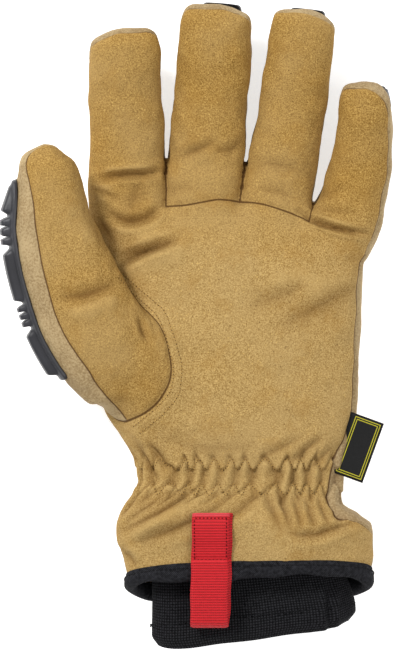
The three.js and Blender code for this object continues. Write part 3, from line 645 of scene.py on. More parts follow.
def gathers(points, fields):
    """How far the gathered leather stands out or in at each point, and a mask of painted shade for its
    valleys.
    """
    y = fields["station"]
    wave, pleat = pleat_wave(fields["body_u"], fields["body_v"], y)
    random = np.random.default_rng(12)
    facts = random.uniform(PLEAT_LEAST, PLEAT_MOST, (PLEATS + 2 * SPARE_PLEATS, 3))
    reach_up, reach_down, strength = facts[np.clip(pleat + SPARE_PLEATS, 0, len(facts) - 1)].T
    over_upper = y - (GATHER_ROWS[0] - GATHER_WAVE * wave)
    over_lower = y - (GATHER_ROWS[1] + GATHER_WAVE * wave)
    above, below = (fade(over, -GATHER_STEP, GATHER_STEP) for over in (over_upper, over_lower))
    ridge = 0.5 + 0.5 * wave * (1 - 2 * below * (1 - above))
    amount = strength * fade(over_upper, reach_up, 0) * fade(over_lower, -reach_down, 0)
    pinch = sum(np.exp(-((over / PINCH_WIDTH) ** 2)) for over in (over_upper, over_lower))
    uneven = 1 + GATHER_UNEVEN * lumps(points, 31, 9.0)
    on_body = fade(fields["thumb"], 0.0, -3.0)
    lift = GATHER_DEPTH * amount * uneven * (ridge**0.8 - GATHER_LEVEL) - GATHER_PINCH * pinch
    return on_body * lift, on_body * np.clip(amount * (1 - ridge) ** 2 + PINCH_SHADE * pinch, 0, 1)


# Creases of the palm side: width and depth in millimetres, then the line's points as photograph pixels. A
# ridge has a depth below zero.
CREASES = {
    "index joint": (1.5, 3.3, (98, 110, 123, 143, 163), (181, 178, 176, 175, 171)),
    "index joint upper lip": (2.6, -0.7, (100, 118, 140, 158), (174, 170, 168, 166)),
    "index side fold": (1.3, -0.7, (90, 98, 108, 120), (183, 187, 190, 194)),
    "index side second": (1.5, 0.9, (91, 100, 110, 120), (187, 191, 196, 202)),
    "index hollow": (4.5, 1.2, (143, 136, 132, 128), (182, 194, 204, 214)),
    "index base": (1.9, 3.6, (106, 118, 130, 147, 163), (211, 219, 222, 218, 206)),
    "index base left": (4.0, 1.8, (98, 103, 110, 118), (214, 226, 238, 248)),
    "index base ridge": (3.2, -0.9, (112, 128, 146, 166), (231, 236, 231, 219)),
    "web": (1.9, 5.0, (117, 125, 140, 158, 178), (267, 262, 254, 247, 240)),
    "web upper shade": (6.0, 1.0, (116, 128, 142), (258, 250, 246)),
    "web ridge": (3.5, -2.0, (124, 142, 162, 186), (275, 267, 259, 254)),
    "palm ridge": (4.5, -1.3, (357, 335, 315, 292), (268, 281, 293, 307)),
    "palm valley": (5.5, 1.2, (361, 335, 310, 276), (283, 298, 311, 328)),
    "palm second ridge": (3.5, -1.1, (315, 298, 280, 258), (270, 277, 283, 290)),
    "palm second valley": (4.5, 0.9, (306, 288, 268, 246), (284, 293, 300, 308)),
    "little root": (1.2, 3.8, (299, 314, 333, 350, 369), (211, 221, 228, 232, 234)),
    "little root fold": (1.8, 1.0, (308, 322, 338, 356), (206, 209, 212, 213)),
    "little root second": (2.2, 0.8, (310, 326, 344), (197, 194, 188)),
    "thumb joint": (3.0, 2.3, (60, 80, 100, 120), (298, 297, 291, 282)),
    "thumb ridge": (3.8, -1.0, (64, 84, 104, 122), (311, 310, 304, 294)),
    "middle joint": (1.9, 1.5, (178, 192, 203, 215), (159, 153, 149, 142)),
    "middle joint right": (2.0, 1.1, (212, 222, 232, 243), (147, 152, 151, 139)),
    "middle root fold": (2.2, 0.7, (168, 180, 196), (192, 189, 190)),
    "ring joint": (2.4, 0.9, (250, 268, 286, 304), (168, 164, 168, 173)),
    "ring root fold": (2.2, 1.0, (258, 276, 292), (190, 192, 198)),
    "thumb set-in fold": (1.2, 1.6, (139, 142, 145, 149), (316, 325, 333, 342)),
    "palm heel fold": (4.5, 0.7, (158, 178, 202, 232, 260), (434, 443, 448, 448, 444)),
    "heel drape one": (1.8, 1.5, (322, 310, 298, 288), (436, 446, 456, 463)),
    "heel drape two": (1.8, 1.4, (333, 324, 315, 306), (446, 455, 463, 469)),
    "heel drape three": (2.0, 1.2, (300, 284, 268, 256), (436, 446, 453, 458)),
    "heel left drape": (1.6, 1.8, (136, 143, 150, 157), (444, 455, 466, 480)),
    "heel left second": (1.6, 1.5, (147, 155, 163, 171), (441, 451, 461, 472)),
    "cuff tuck": (2.0, 3.0, (333, 339, 347), (509, 515, 516)),
    "cuff right fold": (1.8, 2.0, (286, 300, 312, 328, 342, 358), (530, 534, 534, 529, 524, 519)),
    "cuff right lip": (3.4, -0.9, (290, 306, 326, 346, 360), (541, 544, 541, 533, 527)),
    "cuff left valley": (2.0, 2.4, (195, 176, 157, 138, 120), (488, 500, 511, 522, 531)),
    "cuff left ridge": (3.4, -1.6, (190, 168, 148, 128), (503, 513, 523, 536)),
    "cuff left second": (2.6, 2.0, (226, 208, 186, 164, 138), (496, 510, 522, 532, 541)),
    "cuff left upper": (1.6, 1.6, (172, 156, 140, 124), (489, 499, 510, 523)),
    "cuff middle fold": (2.4, 1.5, (252, 240, 226, 212), (494, 506, 515, 522)),
    "cuff middle ridge": (3.0, -1.2, (262, 250, 238), (499, 511, 522)),
    "cuff side wrinkle": (1.2, 1.6, (140, 133, 126, 120), (492, 500, 508, 517)),
    "cuff left wrinkle": (1.8, -1.0, (126, 136, 142), (545, 548, 556)),
    "cuff left wrinkle shade": (1.8, 1.3, (124, 130, 136), (552, 558, 566)),
    "pucker one": (1.5, 1.4, (264, 270, 276, 281), (488, 502, 517, 531)),
    "pucker two": (1.4, 1.5, (279, 283, 287, 290), (492, 504, 516, 528)),
    "pucker three": (1.4, 1.4, (292, 296, 299, 301), (494, 505, 516, 528)),
    "pucker four": (1.5, 1.6, (305, 309, 312, 314), (496, 507, 517, 528)),
    "pucker five": (1.5, 1.5, (318, 321, 325, 328), (494, 505, 516, 526)),
}
CREASE_POINTS = 14
# A crease's section is a sharp line in a soft hollow between two lips: shares of its depth, and of its width
SHARP_SHARE, SOFT_SHARE, LIP_SHARE = 0.62, 0.38, 0.3
SHARP_WIDTH, SOFT_WIDTH, LIP_PLACE = 0.7, 1.3, 2.2


def line_distance(points, line):
    """Distance in the palm's plane from a row of points, and how far along it the nearest one is."""
    best = np.full(len(points), 1e9)
    place = np.zeros(len(points))
    flat = points[:, :2]
    for k, (a, b) in enumerate(zip(line[:-1], line[1:])):
        way = b - a
        t = np.clip((flat - a) @ way / (way @ way), 0, 1)
        away = np.linalg.norm(flat - a - t[:, None] * way, axis=1)
        nearer = away < best
        best[nearer] = away[nearer]
        place[nearer] = (k + t[nearer]) / (len(line) - 1)
    return best, place


def rounded(line, count):
    """A smooth line of that many points through a row of chosen ones."""
    at = lengths_along(line)
    fine = np.linspace(0, at[-1], count)
    return np.stack([smooth(fine, at, line[:, k]) for k in range(line.shape[1])], 1)


def creases(points, normals):
    """How far the creases stand in at each point, and a mask of painted shade along their sharp lines."""
    total = np.zeros(len(points))
    painted_shade = np.zeros(len(points))
    facing = fade(normals[:, 2], 0.0, 0.45)
    for width, depth, px, py in CREASES.values():
        away, place = line_distance(points, rounded(spot(px, py), CREASE_POINTS))
        ends = np.sin(np.pi * np.clip(place, 0.02, 0.98)) ** 0.6
        sharp = np.exp(-away / (SHARP_WIDTH * width))
        soft = np.exp(-((away / (SOFT_WIDTH * width)) ** 2))
        lips = np.exp(-(((away - LIP_PLACE * width) / width) ** 2))
        if depth > 0:
            total += depth * (SHARP_SHARE * sharp + SOFT_SHARE * soft - LIP_SHARE * lips) * ends * facing
            painted_shade = np.maximum(painted_shade, sharp * ends * facing * min(1.0, depth / 2))
        else:
            total += depth * soft * ends * facing
    return total, painted_shade


SEAM_GROOVE = 1.0
SEAM_WIDTH = 1.2
FINGER_SEAM_SLOPE = 0.8
NO_SEAM = 40  # added to a distance where that seam doesn't run
LUMPS = ((0.45, 21, 20.0), (0.22, 22, 8.0))  # the leather's unevenness: millimetres, seed and size
REST_HEIGHT = 1.5  # under it the leather lies on its surface
# painted highlight on raised leather: millimetres of lift over which it fades in
PAINTED_HIGHLIGHT_LIFT = (0.4, 1.5)
DEEP_FINGERS = (PALM_LENGTH - 30, PALM_LENGTH + 15)  # the fingers are a deeper gold than the palm
DEEP_THUMB = 0.7


def seam_distance(fields):
    """Distance from the nearest seam, in millimetres along the skin, roughly."""
    on_thumb = fade(fields["thumb"], -0.5, 0.5)
    off_front = NO_SEAM * (fields["front"] < -0.01)
    return np.minimum.reduce([
        np.abs(fields["thumb"]),
        np.abs(fields["front"]) + NO_SEAM * on_thumb,
        FINGER_SEAM_SLOPE * np.abs(fields["middle"]) + off_front + NO_SEAM * on_thumb,
        FINGER_SEAM_SLOPE * np.abs(fields["ring"]) + off_front + NO_SEAM * on_thumb,
        np.abs(fields["thumb_front"]) + NO_SEAM * (1 - on_thumb),
    ])


def dressed_skin():
    """The whole skin with its gathers, creases and seam grooves, cut into panels."""
    points, faces = surface(skin_field(VOXEL, 0.0), VOXEL)
    fields = panel_fields(points)
    normals = normals_of(points, faces)
    dents, painted_shade = creases(points, normals)
    pulled, valley_shade = gathers(points, fields)
    groove = np.exp(-((seam_distance(fields) / SEAM_WIDTH) ** 2))
    lift = pulled - dents - SEAM_GROOVE * groove
    for amount, seed, scale in LUMPS:
        lift = lift + amount * lumps(points, seed, scale)
    height = points[:, 2]
    lift = np.where(height < REST_HEIGHT, np.minimum(lift, 0) * fade(height, -0.5, REST_HEIGHT), lift)
    moved = points + normals * lift[:, None]
    moved[:, 2] = np.maximum(moved[:, 2], 0)
    # Painted shade: darker along the creases' sharp lines and in the gathers' valleys
    fields["painted_shade"] = np.clip(np.maximum(painted_shade, 0.6 * valley_shade), 0, 1)
    # Painted highlight: lighter where the leather is lifted out
    fields["painted_highlight"] = fade(lift, *PAINTED_HIGHLIGHT_LIFT)
    fields["deep"] = np.maximum(fade(points[:, 1], *DEEP_FINGERS), DEEP_THUMB * fade(fields["thumb"], -2, 2))
    whole = moved, faces
    moved, fields, faces, _ = cut(moved, faces, fields, "mouth")
    moved, fields, thumb, rest = cut(moved, faces, fields, "thumb")
    moved, fields, front, back = cut(moved, rest, fields, "front")
    moved, fields, middle, front = cut(moved, front, fields, "middle")
    moved, fields, ring, palm = cut(moved, front, fields, "ring")
    moved, fields, thumb_palm, thumb_back = cut(moved, thumb, fields, "thumb_front")
    fields["seam"] = seam_distance(fields)
    panels = {
        "palm_panel": palm,
        "middle_finger_panel": middle,
        "ring_finger_panel": ring,
        "back_panel": back,
        "thumb_palm_panel": thumb_palm,
        "thumb_back_panel": thumb_back,
    }
    return whole, moved, fields, panels


# Shader work
class Wire:
    """A shader value that adds Math nodes when it is used in sums."""

    def __init__(self, finish, socket):
        self.finish = finish
        self.socket = socket

    def math(self, operation, *values):
        return self.finish.node("ShaderNodeMath", {"operation": operation}, dict(enumerate(values)))

    def __add__(self, other):
        return self.math("ADD", self, other)

    def __sub__(self, other):
        return self.math("SUBTRACT", self, other)

    def __rsub__(self, other):
        return self.math("SUBTRACT", other, self)

    def __mul__(self, other):
        return self.math("MULTIPLY", self, other)

    def __pow__(self, other):
        return self.math("POWER", self, other)

    __radd__ = __add__
    __rmul__ = __mul__

    def wave(self, period):
        """A smooth wave from 0 to 1 with that period."""
        return 0.5 + 0.5 * self.math("SINE", self * (2 * math.pi / period))

    def ramp(self, low, high):
        """0 up to low, 1 from high, and smooth between."""
        made = {"interpolation_type": "SMOOTHSTEP"}
        inputs = {"Value": self, "From Min": low, "From Max": high}
        return self.finish.node("ShaderNodeMapRange", made, inputs)


class Finish:
    """One material, with a Principled shader."""

    def __init__(self, name, roughness, specular=None):
        self.material = bpy.data.materials.new(name)
        self.material.use_nodes = True
        self.tree = self.material.node_tree
        self.shader = self.tree.nodes["Principled BSDF"]
        self.shader.inputs["Roughness"].default_value = roughness
        if specular is not None:
            self.shader.inputs["Specular IOR Level"].default_value = specular

    def node(self, kind, settings=None, inputs=None, output=0):
        """Adds a node: its settings first, then the values or links of its sockets."""
        made = self.tree.nodes.new(kind)
        for name, value in (settings or {}).items():
            setattr(made, name, value)
        for name, value in (inputs or {}).items():
            if isinstance(value, Wire):
                self.tree.links.new(value.socket, made.inputs[name])
            else:
                made.inputs[name].default_value = value
        return Wire(self, made.outputs[output])

    def feed(self, socket, wire):
        self.tree.links.new(wire.socket, self.shader.inputs[socket])

    def place(self):
        return self.node("ShaderNodeTexCoord", output="Object")

    def noise(self, scale, detail):
        """Noise with that many lumps a metre."""
        inputs = {"Vector": self.place(), "Scale": scale, "Detail": detail, "Roughness": 0.6}
        return self.node("ShaderNodeTexNoise", {}, inputs)

    def cells(self, scale, feature="F1"):
        """Distance from the middles of cells, with that many cells a metre."""
        inputs = {"Vector": self.place(), "Scale": scale}
        return self.node("ShaderNodeTexVoronoi", {"feature": feature}, inputs)

    def attribute(self, name):
        return self.node("ShaderNodeAttribute", {"attribute_name": name}, output="Fac")

    def mesh_millimetres(self):
        """The two directions of the mesh's own map, in millimetres."""
        split = self.node("ShaderNodeSeparateXYZ", {}, {0: self.node("ShaderNodeUVMap", {"uv_map": "cloth"})})
        return split, Wire(self, split.socket.node.outputs[1])

    def mix(self, amount, low, high):
        """A colour between two others."""
        made = {"data_type": "RGBA", "clamp_factor": True}
        return self.node("ShaderNodeMix", made, {0: amount, 6: low, 7: high}, output=2)

    def bump(self, height, distance):
        made = self.node("ShaderNodeBump", {}, {"Height": height, "Distance": distance * MM, "Strength": 1.0})
        self.feed("Normal", made)


def colour(red, green, blue):
    """A colour from the values that a picture shows, 0 to 255."""
    return [((v / 255 + 0.055) / 1.055) ** 2.4 for v in (red, green, blue)] + [1.0]


SEAM_LINE = (0.5, 0.15)


def gold_suede():
    made = Finish("gold_suede", roughness=0.95, specular=0.12)
    cloud = made.noise(22, 2)
    nap = made.noise(1300, 3)
    fibre = made.noise(1900, 2)
    mottle = made.noise(75, 3)
    fine = 0.4 * nap + 0.6 * fibre
    deep = made.attribute("deep")
    dark = made.mix(deep, colour(132, 101, 50), colour(118, 84, 32))
    light = made.mix(deep, colour(190, 159, 102), colour(180, 144, 78))
    base = made.mix(fine.ramp(0.34, 0.66), dark, light)
    base = made.mix(cloud.ramp(0.35, 0.7) * 0.35, base, colour(172, 146, 98))
    base = made.mix(mottle.ramp(0.5, 0.7) * 0.3, base, colour(146, 108, 48))
    holes = made.cells(430.0)
    patch = made.noise(90, 2)
    pores = holes.ramp(0.17, 0.08) * patch.ramp(0.45, 0.6)
    base = made.mix(pores * 0.55, base, colour(112, 80, 36))
    tufts = made.cells(520.0)
    base = made.mix(tufts.ramp(0.24, 0.12) * patch.ramp(0.6, 0.45) * 0.4, base, colour(212, 176, 104))
    # painted highlight on the raised leather
    base = made.mix(made.attribute("painted_highlight") * 0.3, base, colour(190, 160, 104))
    # painted shade along the creases and in the gathers' valleys
    base = made.mix(made.attribute("painted_shade") * 0.85, base, colour(98, 66, 28))
    base = made.mix(made.attribute("seam").ramp(*SEAM_LINE) * 0.85, base, colour(70, 42, 18))
    made.feed("Base Color", base)
    made.bump(fine - pores * 0.5, 0.4)
    return made.material


def beige_leather():
    made = Finish("beige_leather", roughness=0.8, specular=0.2)
    cloud = made.noise(45, 2)
    grain = made.noise(1100, 3)
    cells = made.cells(900.0, "SMOOTH_F1")
    base = made.mix((0.4 * cloud + 0.6 * grain).ramp(0.38, 0.62), colour(138, 115, 79), colour(172, 150, 111))
    # painted shade along the creases, in the gathers' valleys and over the lining
    base = made.mix(made.attribute("painted_shade") * 0.7, base, colour(110, 80, 50))
    base = made.mix(made.attribute("seam").ramp(*SEAM_LINE) * 0.85, base, colour(74, 46, 22))
    made.feed("Base Color", base)
    made.bump(cells * 0.7 + grain * 0.4, 0.25)
    return made.material


def black_rubber():
    made = Finish("black_rubber", roughness=0.45)
    cloud = made.noise(60, 2)
    grain = made.noise(1500, 2)
    made.feed("Base Color", made.mix(cloud.ramp(0.3, 0.7), colour(34, 34, 38), colour(46, 46, 51)))
    made.feed("Roughness", 0.36 + 0.2 * grain)
    made.bump(grain, 0.05)
    return made.material


def black_binding():
    made = Finish("black_binding", roughness=0.95, specular=0.1)
    along, over = made.mesh_millimetres()
    twill = (along + over).wave(1.1)
    fuzz = made.noise(700, 3)
    tone = (0.25 * twill + 0.8 * fuzz).ramp(0.25, 0.8)
    made.feed("Base Color", made.mix(tone, colour(2, 2, 3), colour(50, 50, 54)))
    made.bump(0.3 * twill + 0.9 * fuzz, 0.6)
    return made.material


def black_knit():
    made = Finish("black_knit", roughness=0.95, specular=0.1)
    round_it, down = made.mesh_millimetres()
    rib = round_it.wave(1.45)
    loops = down.wave(1.2)
    fuzz = made.noise(900, 3)
    base = made.mix((0.5 * rib * loops + 0.6 * fuzz).ramp(0.15, 0.85), colour(2, 2, 3), colour(46, 46, 49))
    made.feed("Base Color", base)
    made.bump(0.8 * rib + 0.6 * loops + 0.2 * fuzz, 0.35)
    return made.material


def red_webbing():
    made = Finish("red_webbing", roughness=0.65, specular=0.25)
    across, along = made.mesh_millimetres()
    ribs = along.wave(1.2)
    yarns = (across + 0.5 * ribs).wave(0.9)
    fuzz = made.noise(700, 3)
    base = made.mix(0.6 * ribs + 0.15 * yarns + 0.3 * fuzz, colour(128, 10, 16), colour(218, 32, 42))
    base = made.mix(along.ramp(2.0, 1.4) * 0.4, base, colour(224, 92, 100))
    made.feed("Base Color", base)
    made.bump(0.8 * ribs + 0.4 * yarns, 0.3)
    return made.material


LABEL_WIDTH = 14.5
LABEL_LENGTH = 29.0
FRAME_INSETS = (1.3, 2.3)
FRAME_LINE = 0.34


def black_label():
    """Plain woven black with a thin plain double yellow frame."""
    made = Finish("black_label", roughness=0.6, specular=0.2)
    across, along = made.mesh_millimetres()
    sides = [(across, LABEL_WIDTH / 2), (along, LABEL_LENGTH / 2)]
    past = [place.math("ABSOLUTE", place - half) - half for place, half in sides]
    edge = past[0].math("MAXIMUM", *past)
    lines = [made_line.math("ABSOLUTE", made_line).ramp(FRAME_LINE * 0.8, FRAME_LINE * 0.3)
             for made_line in (edge + inset for inset in FRAME_INSETS)]
    frame_line = lines[0].math("MAXIMUM", *lines)
    weave = 0.5 * across.wave(0.5) + 0.5 * along.wave(0.45)
    black = made.mix(weave, colour(8, 8, 8), colour(22, 22, 22))
    made.feed("Base Color", made.mix(frame_line, black, colour(176, 168, 40)))
    made.bump(weave + 0.6 * frame_line, 0.08)
    return made.material


def thread(name, shade):
    made = Finish(name, roughness=0.85, specular=0.15)
    twist = made.noise(2200, 2)
    made.feed("Base Color", made.mix(twist, [0.7 * v for v in shade[:3]] + [1.0], shade))
    made.bump(twist, 0.05)
    return made.material


FINISHES = {
    "gold_suede": gold_suede(),
    "beige_leather": beige_leather(),
    "black_rubber": black_rubber(),
    "black_binding": black_binding(),
    "black_knit": black_knit(),
    "red_webbing": red_webbing(),
    "black_label": black_label(),
}
TAN_THREAD = thread("tan_thread", colour(176, 140, 78))
# dark brown bits sunk between the stitches: painted shade of the stitch holes
STITCH_HOLE_SHADE = thread("stitch_hole_shade", colour(74, 48, 22))
DARK_THREAD = thread("dark_thread", colour(22, 22, 24))
RED_THREAD = thread("red_thread", colour(96, 6, 14))


# Making pieces
def mesh_object(name, points, faces, material, values=None, cloth=None):
    """An object from points in millimetres and faces of three or four corners, with values for each point and
    the cloth's own directions, in millimetres, for each corner."""
    used, inverse = np.unique(faces, return_inverse=True)
    faces = inverse.reshape(faces.shape)
    mesh = bpy.data.meshes.new(name)
    corners = faces.shape[1]
    mesh.vertices.add(len(used))
    mesh.vertices.foreach_set("co", (points[used] * MM + ORIGIN).astype(np.float32).ravel())
    mesh.loops.add(faces.size)
    mesh.loops.foreach_set("vertex_index", faces.ravel().astype(np.int32))
    mesh.polygons.add(len(faces))
    mesh.polygons.foreach_set("loop_start", np.arange(0, faces.size, corners, dtype=np.int32))
    for key, value in (values or {}).items():
        layer = mesh.attributes.new(key, "FLOAT", "POINT")
        layer.data.foreach_set("value", value[used].astype(np.float32))
    if cloth is not None:
        layer = mesh.uv_layers.new(name="cloth")
        layer.data.foreach_set("uv", cloth.reshape(-1, 2).astype(np.float32).ravel())
    mesh.update(calc_edges=True)
    mesh.polygons.foreach_set("use_smooth", np.ones(len(faces), bool))
    mesh.validate()
    mesh.materials.append(material)
    made = bpy.data.objects.new(name, mesh)
    bpy.context.scene.collection.objects.link(made)
    return made


def keep(made, slot, *nodes):
    """Every piece rides on the glove and stands for its nodes, which are hidden. slot is not used."""
    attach(made, "root")
    if nodes:
        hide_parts(*nodes)
    return made


def grid_faces(rows, columns, closed):
    """Quads of a grid of points, row by row, whose columns join up where it is closed."""
    k = np.arange(rows - 1)[:, None] * columns
    j = np.arange(columns if closed else columns - 1)[None, :]
    after = (j + 1) % columns
    return np.stack([k + j, k + after, k + columns + after, k + columns + j], -1).reshape(-1, 4)


def grid_cloth(rows, columns, closed, around, along):
    """The cloth's directions at each corner of grid_faces, from lengths at each row and column."""
    j = np.arange(columns if closed else columns - 1)
    k = np.arange(rows - 1)
    corner = []
    for dk, dj in ((0, 0), (0, 1), (1, 1), (1, 0)):
        u = np.broadcast_to(around[j + dj][None, :], (rows - 1, len(j)))
        v = np.broadcast_to(along[k + dk][:, None], (rows - 1, len(j)))
        corner.append(np.stack([u, v], -1))
    return np.stack(corner, 2).reshape(-1, 4, 2)


def section_points(count):
    """Places round a squarish section, evenly spaced along the wrist's: shares u and v."""
    u, v = superellipse(np.linspace(0, 2 * np.pi, 1441), SQUARE)
    _, _, half_width, half_depth = body_section(0.0)
    steps = np.hypot(np.diff(u) * half_width, np.diff(v) * half_depth)
    length = np.concatenate([[0], np.cumsum(steps)])
    even = np.linspace(0, length[-1], count, endpoint=False)
    return np.interp(even, length, u), np.interp(even, length, v)


# Leather panels
whole, skin_points, skin_values, panels = dressed_skin()
PANEL_FINISH = {
    "palm_panel": "gold_suede",
    "middle_finger_panel": "gold_suede",
    "ring_finger_panel": "gold_suede",
    "back_panel": "beige_leather",
    "thumb_palm_panel": "gold_suede",
    "thumb_back_panel": "beige_leather",
}
shown = {key: skin_values[key] for key in ("painted_shade", "painted_highlight", "seam", "deep")}
for panel, faces in panels.items():
    finish = PANEL_FINISH[panel]
    made = mesh_object(panel.replace("panel", "leather"), skin_points, faces, FINISHES[finish], shown)
    keep(made, finish, panel)

skin_tree = BVHTree.FromPolygons(whole[0].tolist(), whole[1].tolist())


def on_skin(line):
    """A row of places in the palm's plane, dropped onto the leather: points and normals."""
    found = [skin_tree.ray_cast(Vector((x, y, 90.0)), Vector((0, 0, -1))) for x, y in line]
    kept = [(place, normal) for place, normal, _, _ in found if place is not None]
    return np.array([place for place, _ in kept]), np.array([normal for _, normal in kept])


# Inner face of the shell, which shows past the cuff
LINING_START = HEM + 0.5
# painted shade over the whole lining, which lies inside the shell
LINING_PAINTED_SHADE = 0.4
OFF_SEAMS = 9.0


def lining():
    points, faces = surface(skin_field(LINING_VOXEL, WALL), LINING_VOXEL)
    _, _, station, _, _ = body_local(points)
    low, high = KNIT_COVERS
    fields = {
        "inside": station - LINING_START,
        "seen": np.abs(points[:, 1] - (low + high) / 2) - (high - low) / 2,
    }
    points, fields, inside, _ = cut(points, faces, fields, "inside")
    points, fields, inside, _ = cut(points, inside, fields, "seen")
    # the lining is darkened all over with painted shade
    values = {"painted_shade": np.full(len(points), LINING_PAINTED_SHADE), "seam": np.full(len(points), OFF_SEAMS)}
    made = mesh_object("shell_lining", points, inside[:, ::-1], FINISHES["beige_leather"], values)
    keep(made, "beige_leather", "back_panel")


lining()


# Binding round the hem: a roll of cloth, given by its outline over the wall
ROLL = table(
    "out along",
    (0.1, 0.8),
    (0.8, 0.5),
    (0.9, -0.9),
    (1.5, -2.4),
    (1.6, -4.4),
    (0.9, -6.2),
    (-0.8, -7.2),
    (-3.2, -6.6),
    (-4.4, -4.4),
    (-4.2, -1.8),
    (-3.1, 0.3),
)
ROLL_LENGTH = 24.0
ROLL_ROUND = 330.0
ROLL_COLUMNS = 220
ROLL_RING = 30
ROLL_LOWEST = 0.6
ROLL_WAVES = ((0.14, 3, 2), (0.07, 11, 0))  # where it is fuller: share, waves round the hem, and shift
ROLL_CREST = (1.35, -2.2)


def hem_ring(out, along, count):
    """A ring of points round the hem, moved out of the leather and along the glove."""
    u, v = section_points(count)
    cx, cz, half_width, half_depth = body_section(HEM)
    x = cx + u * (half_width + out)
    y = HEM + HEM_ARCH * v + HEM_TILT * u + along
    return np.stack([x, y, np.maximum(cz + v * (half_depth + out), 0)], 1)


def binding():
    count = ROLL_COLUMNS
    outline = rounded(np.stack([ROLL["out"], ROLL["along"]], 1), ROLL_RING)
    share = np.linspace(0, 1, count, endpoint=False)
    fuller = 1.0
    for amount, waves, shift in ROLL_WAVES:
        fuller = fuller + amount * np.sin(2 * np.pi * waves * share + shift)
    rows = []
    for out, along in outline:
        ring = hem_ring(out, along * fuller, count)
        ring[:, 2] = np.maximum(ring[:, 2], ROLL_LOWEST + 0.4 * np.abs(out + 1.5) / 3)
        rows.append(ring)
    points = np.concatenate(rows)
    around = np.linspace(0, ROLL_ROUND, count + 1)
    over = np.linspace(0, ROLL_LENGTH, len(rows))
    faces = grid_faces(len(rows), count, True)
    cloth = grid_cloth(len(rows), count, True, around, over)
    made = mesh_object("binding_roll", points, faces, FINISHES["black_binding"], cloth=cloth)
    keep(made, "black_binding", "hem_binding")


binding()

# Knitted inner cuff
KNIT_WALL = 2.0
KNIT_LENGTH = 79.0
KNIT_TILT = 5.5
KNIT_TOP = 6.0
KNIT_FIT = WALL + 0.6
KNIT_ROWS = table(
    "along left right depth tilt",
    (0, 0, 0, 0, 0),
    (0.12, 0, 0, 0, 0),
    (0.24, 0, -0.05, -0.02, 0),
    (0.45, -0.04, 0.02, -0.02, 0.2),
    (0.7, -0.05, 0.14, 0, 0.6),
    (0.94, -0.04, 0.22, 0.03, 1),
    (1.0, -0.1, 0.15, -0.03, 1),
)
KNIT_CORNER = 2.6
KNIT_FOLDS = list(zip(spot([322, 329, 336], [0, 0, 0])[:, 0], (1.6, -1.8, 1.2)))
KNIT_FOLD_WIDTH = 2.0
KNIT_WAVE = 1.3
KNIT_LOOSE = (0.5, 0.95)  # over which share of its length the folds set in
KNIT_WAVES = 60
KNIT_SIDEWAYS = 0.6  # how much of a fold goes across
KNIT_EDGE_WAVE = 0.6
KNIT_OUTSIDE = np.concatenate([np.linspace(0, 0.94, 60), np.linspace(0.95, 1.0, 8)])
KNIT_INSIDE = np.linspace(0.97, 0.02, 24)
KNIT_COLUMNS = 240
KNIT_ROUND = 240.0


def knit_ring(along, inset, count):
    """A ring of the knit at a share of its length, and moved in by inset."""
    at = np.array([along])
    columns = ("left", "right", "depth", "tilt")
    left, right, depth, tilt = (smooth(at, KNIT_ROWS["along"], KNIT_ROWS[name])[0] for name in columns)
    half = WRIST_WIDTH / 2
    cx, cz, half_width, half_depth = body_section(0.0)
    low, high = cx - half_width + KNIT_FIT - left * half, cx + half_width - KNIT_FIT + right * half
    u, v = section_points(count)
    wide, deep = (high - low) / 2 - inset, half_depth - KNIT_FIT + depth * half - inset
    x = (low + high) / 2 + u * wide
    y = KNIT_TOP - along * KNIT_LENGTH + tilt * KNIT_TILT * u
    return np.stack([x, y, cz + v * deep], 1), u, v


def knit():
    """The knitted tube: its outside down to the edge, round the edge, and its inside back up."""
    count = KNIT_COLUMNS
    steps = [(share, 0.0) for share in KNIT_OUTSIDE] + [(1.0, KNIT_WALL * k / 3) for k in (1, 2, 3)]
    steps += [(share, KNIT_WALL) for share in KNIT_INSIDE]
    share = np.linspace(0, 1, count, endpoint=False)
    rows = []
    for along, inset in steps:
        ring, u, v = knit_ring(along, inset, count)
        low = fade(np.array([along]), *KNIT_LOOSE)[0]
        folds = KNIT_WAVE * wander(share * KNIT_WAVES + 3 * along, 8, 7.0) * low
        folds += sum(
            depth * low * np.exp(-(((ring[:, 0] - x) / KNIT_FOLD_WIDTH) ** 2)) * (v > 0)
            for x, depth in KNIT_FOLDS
        )
        ring[:, 0] += u * folds * KNIT_SIDEWAYS
        ring[:, 2] += v * folds
        uneven = KNIT_EDGE_WAVE * wander(share * KNIT_WAVES, 9, 14.0) * along
        ring[:, 1] += uneven + KNIT_CORNER * low * np.abs(u) ** 10
        rows.append(ring)
    points = np.concatenate(rows)
    around = np.linspace(0, KNIT_ROUND, count + 1)
    pairs = zip(steps[:-1], steps[1:])
    down = np.cumsum([0] + [abs(b[0] - a[0]) * KNIT_LENGTH + abs(b[1] - a[1]) for a, b in pairs])
    faces = grid_faces(len(rows), count, True)
    cloth = grid_cloth(len(rows), count, True, around, down)
    made = mesh_object("knit_tube", points, faces[:, ::-1], FINISHES["black_knit"], cloth=cloth[:, ::-1])
    keep(made, "black_knit", "knit_cuff")
    return points


knit_points = knit()

# Pull loop
STRAP_WIDTH = 17.2
STRAP_LEFT = STRAP_SIDE + 1.0
STRAP_THICKNESS = 1.4
STRAP_SKEW = 1.3
STRAP_LEAN = 0.022
STRAP_TOP = -14.6
STRAP_LENGTH = 50.0
STRAP_PATCH = 18.0
STRAP_OPENING = 6.5
UPPER_LAYER, LOWER_LAYER = 1.6, 0.6  # how high its two layers lie over what carries them, in thicknesses
HEM_LIFT = 0.1  # how much higher they lie at the leather's edge
KNIT_CLEARANCE = 0.6
STRAP_EDGE = 0.8  # over how far the webbing thins to its edges
STRAP_EDGE_SHARE = 0.35
STRAP_SKEW_SPAN = (0.38, 0.62)  # where along the webbing its lower layer moves aside


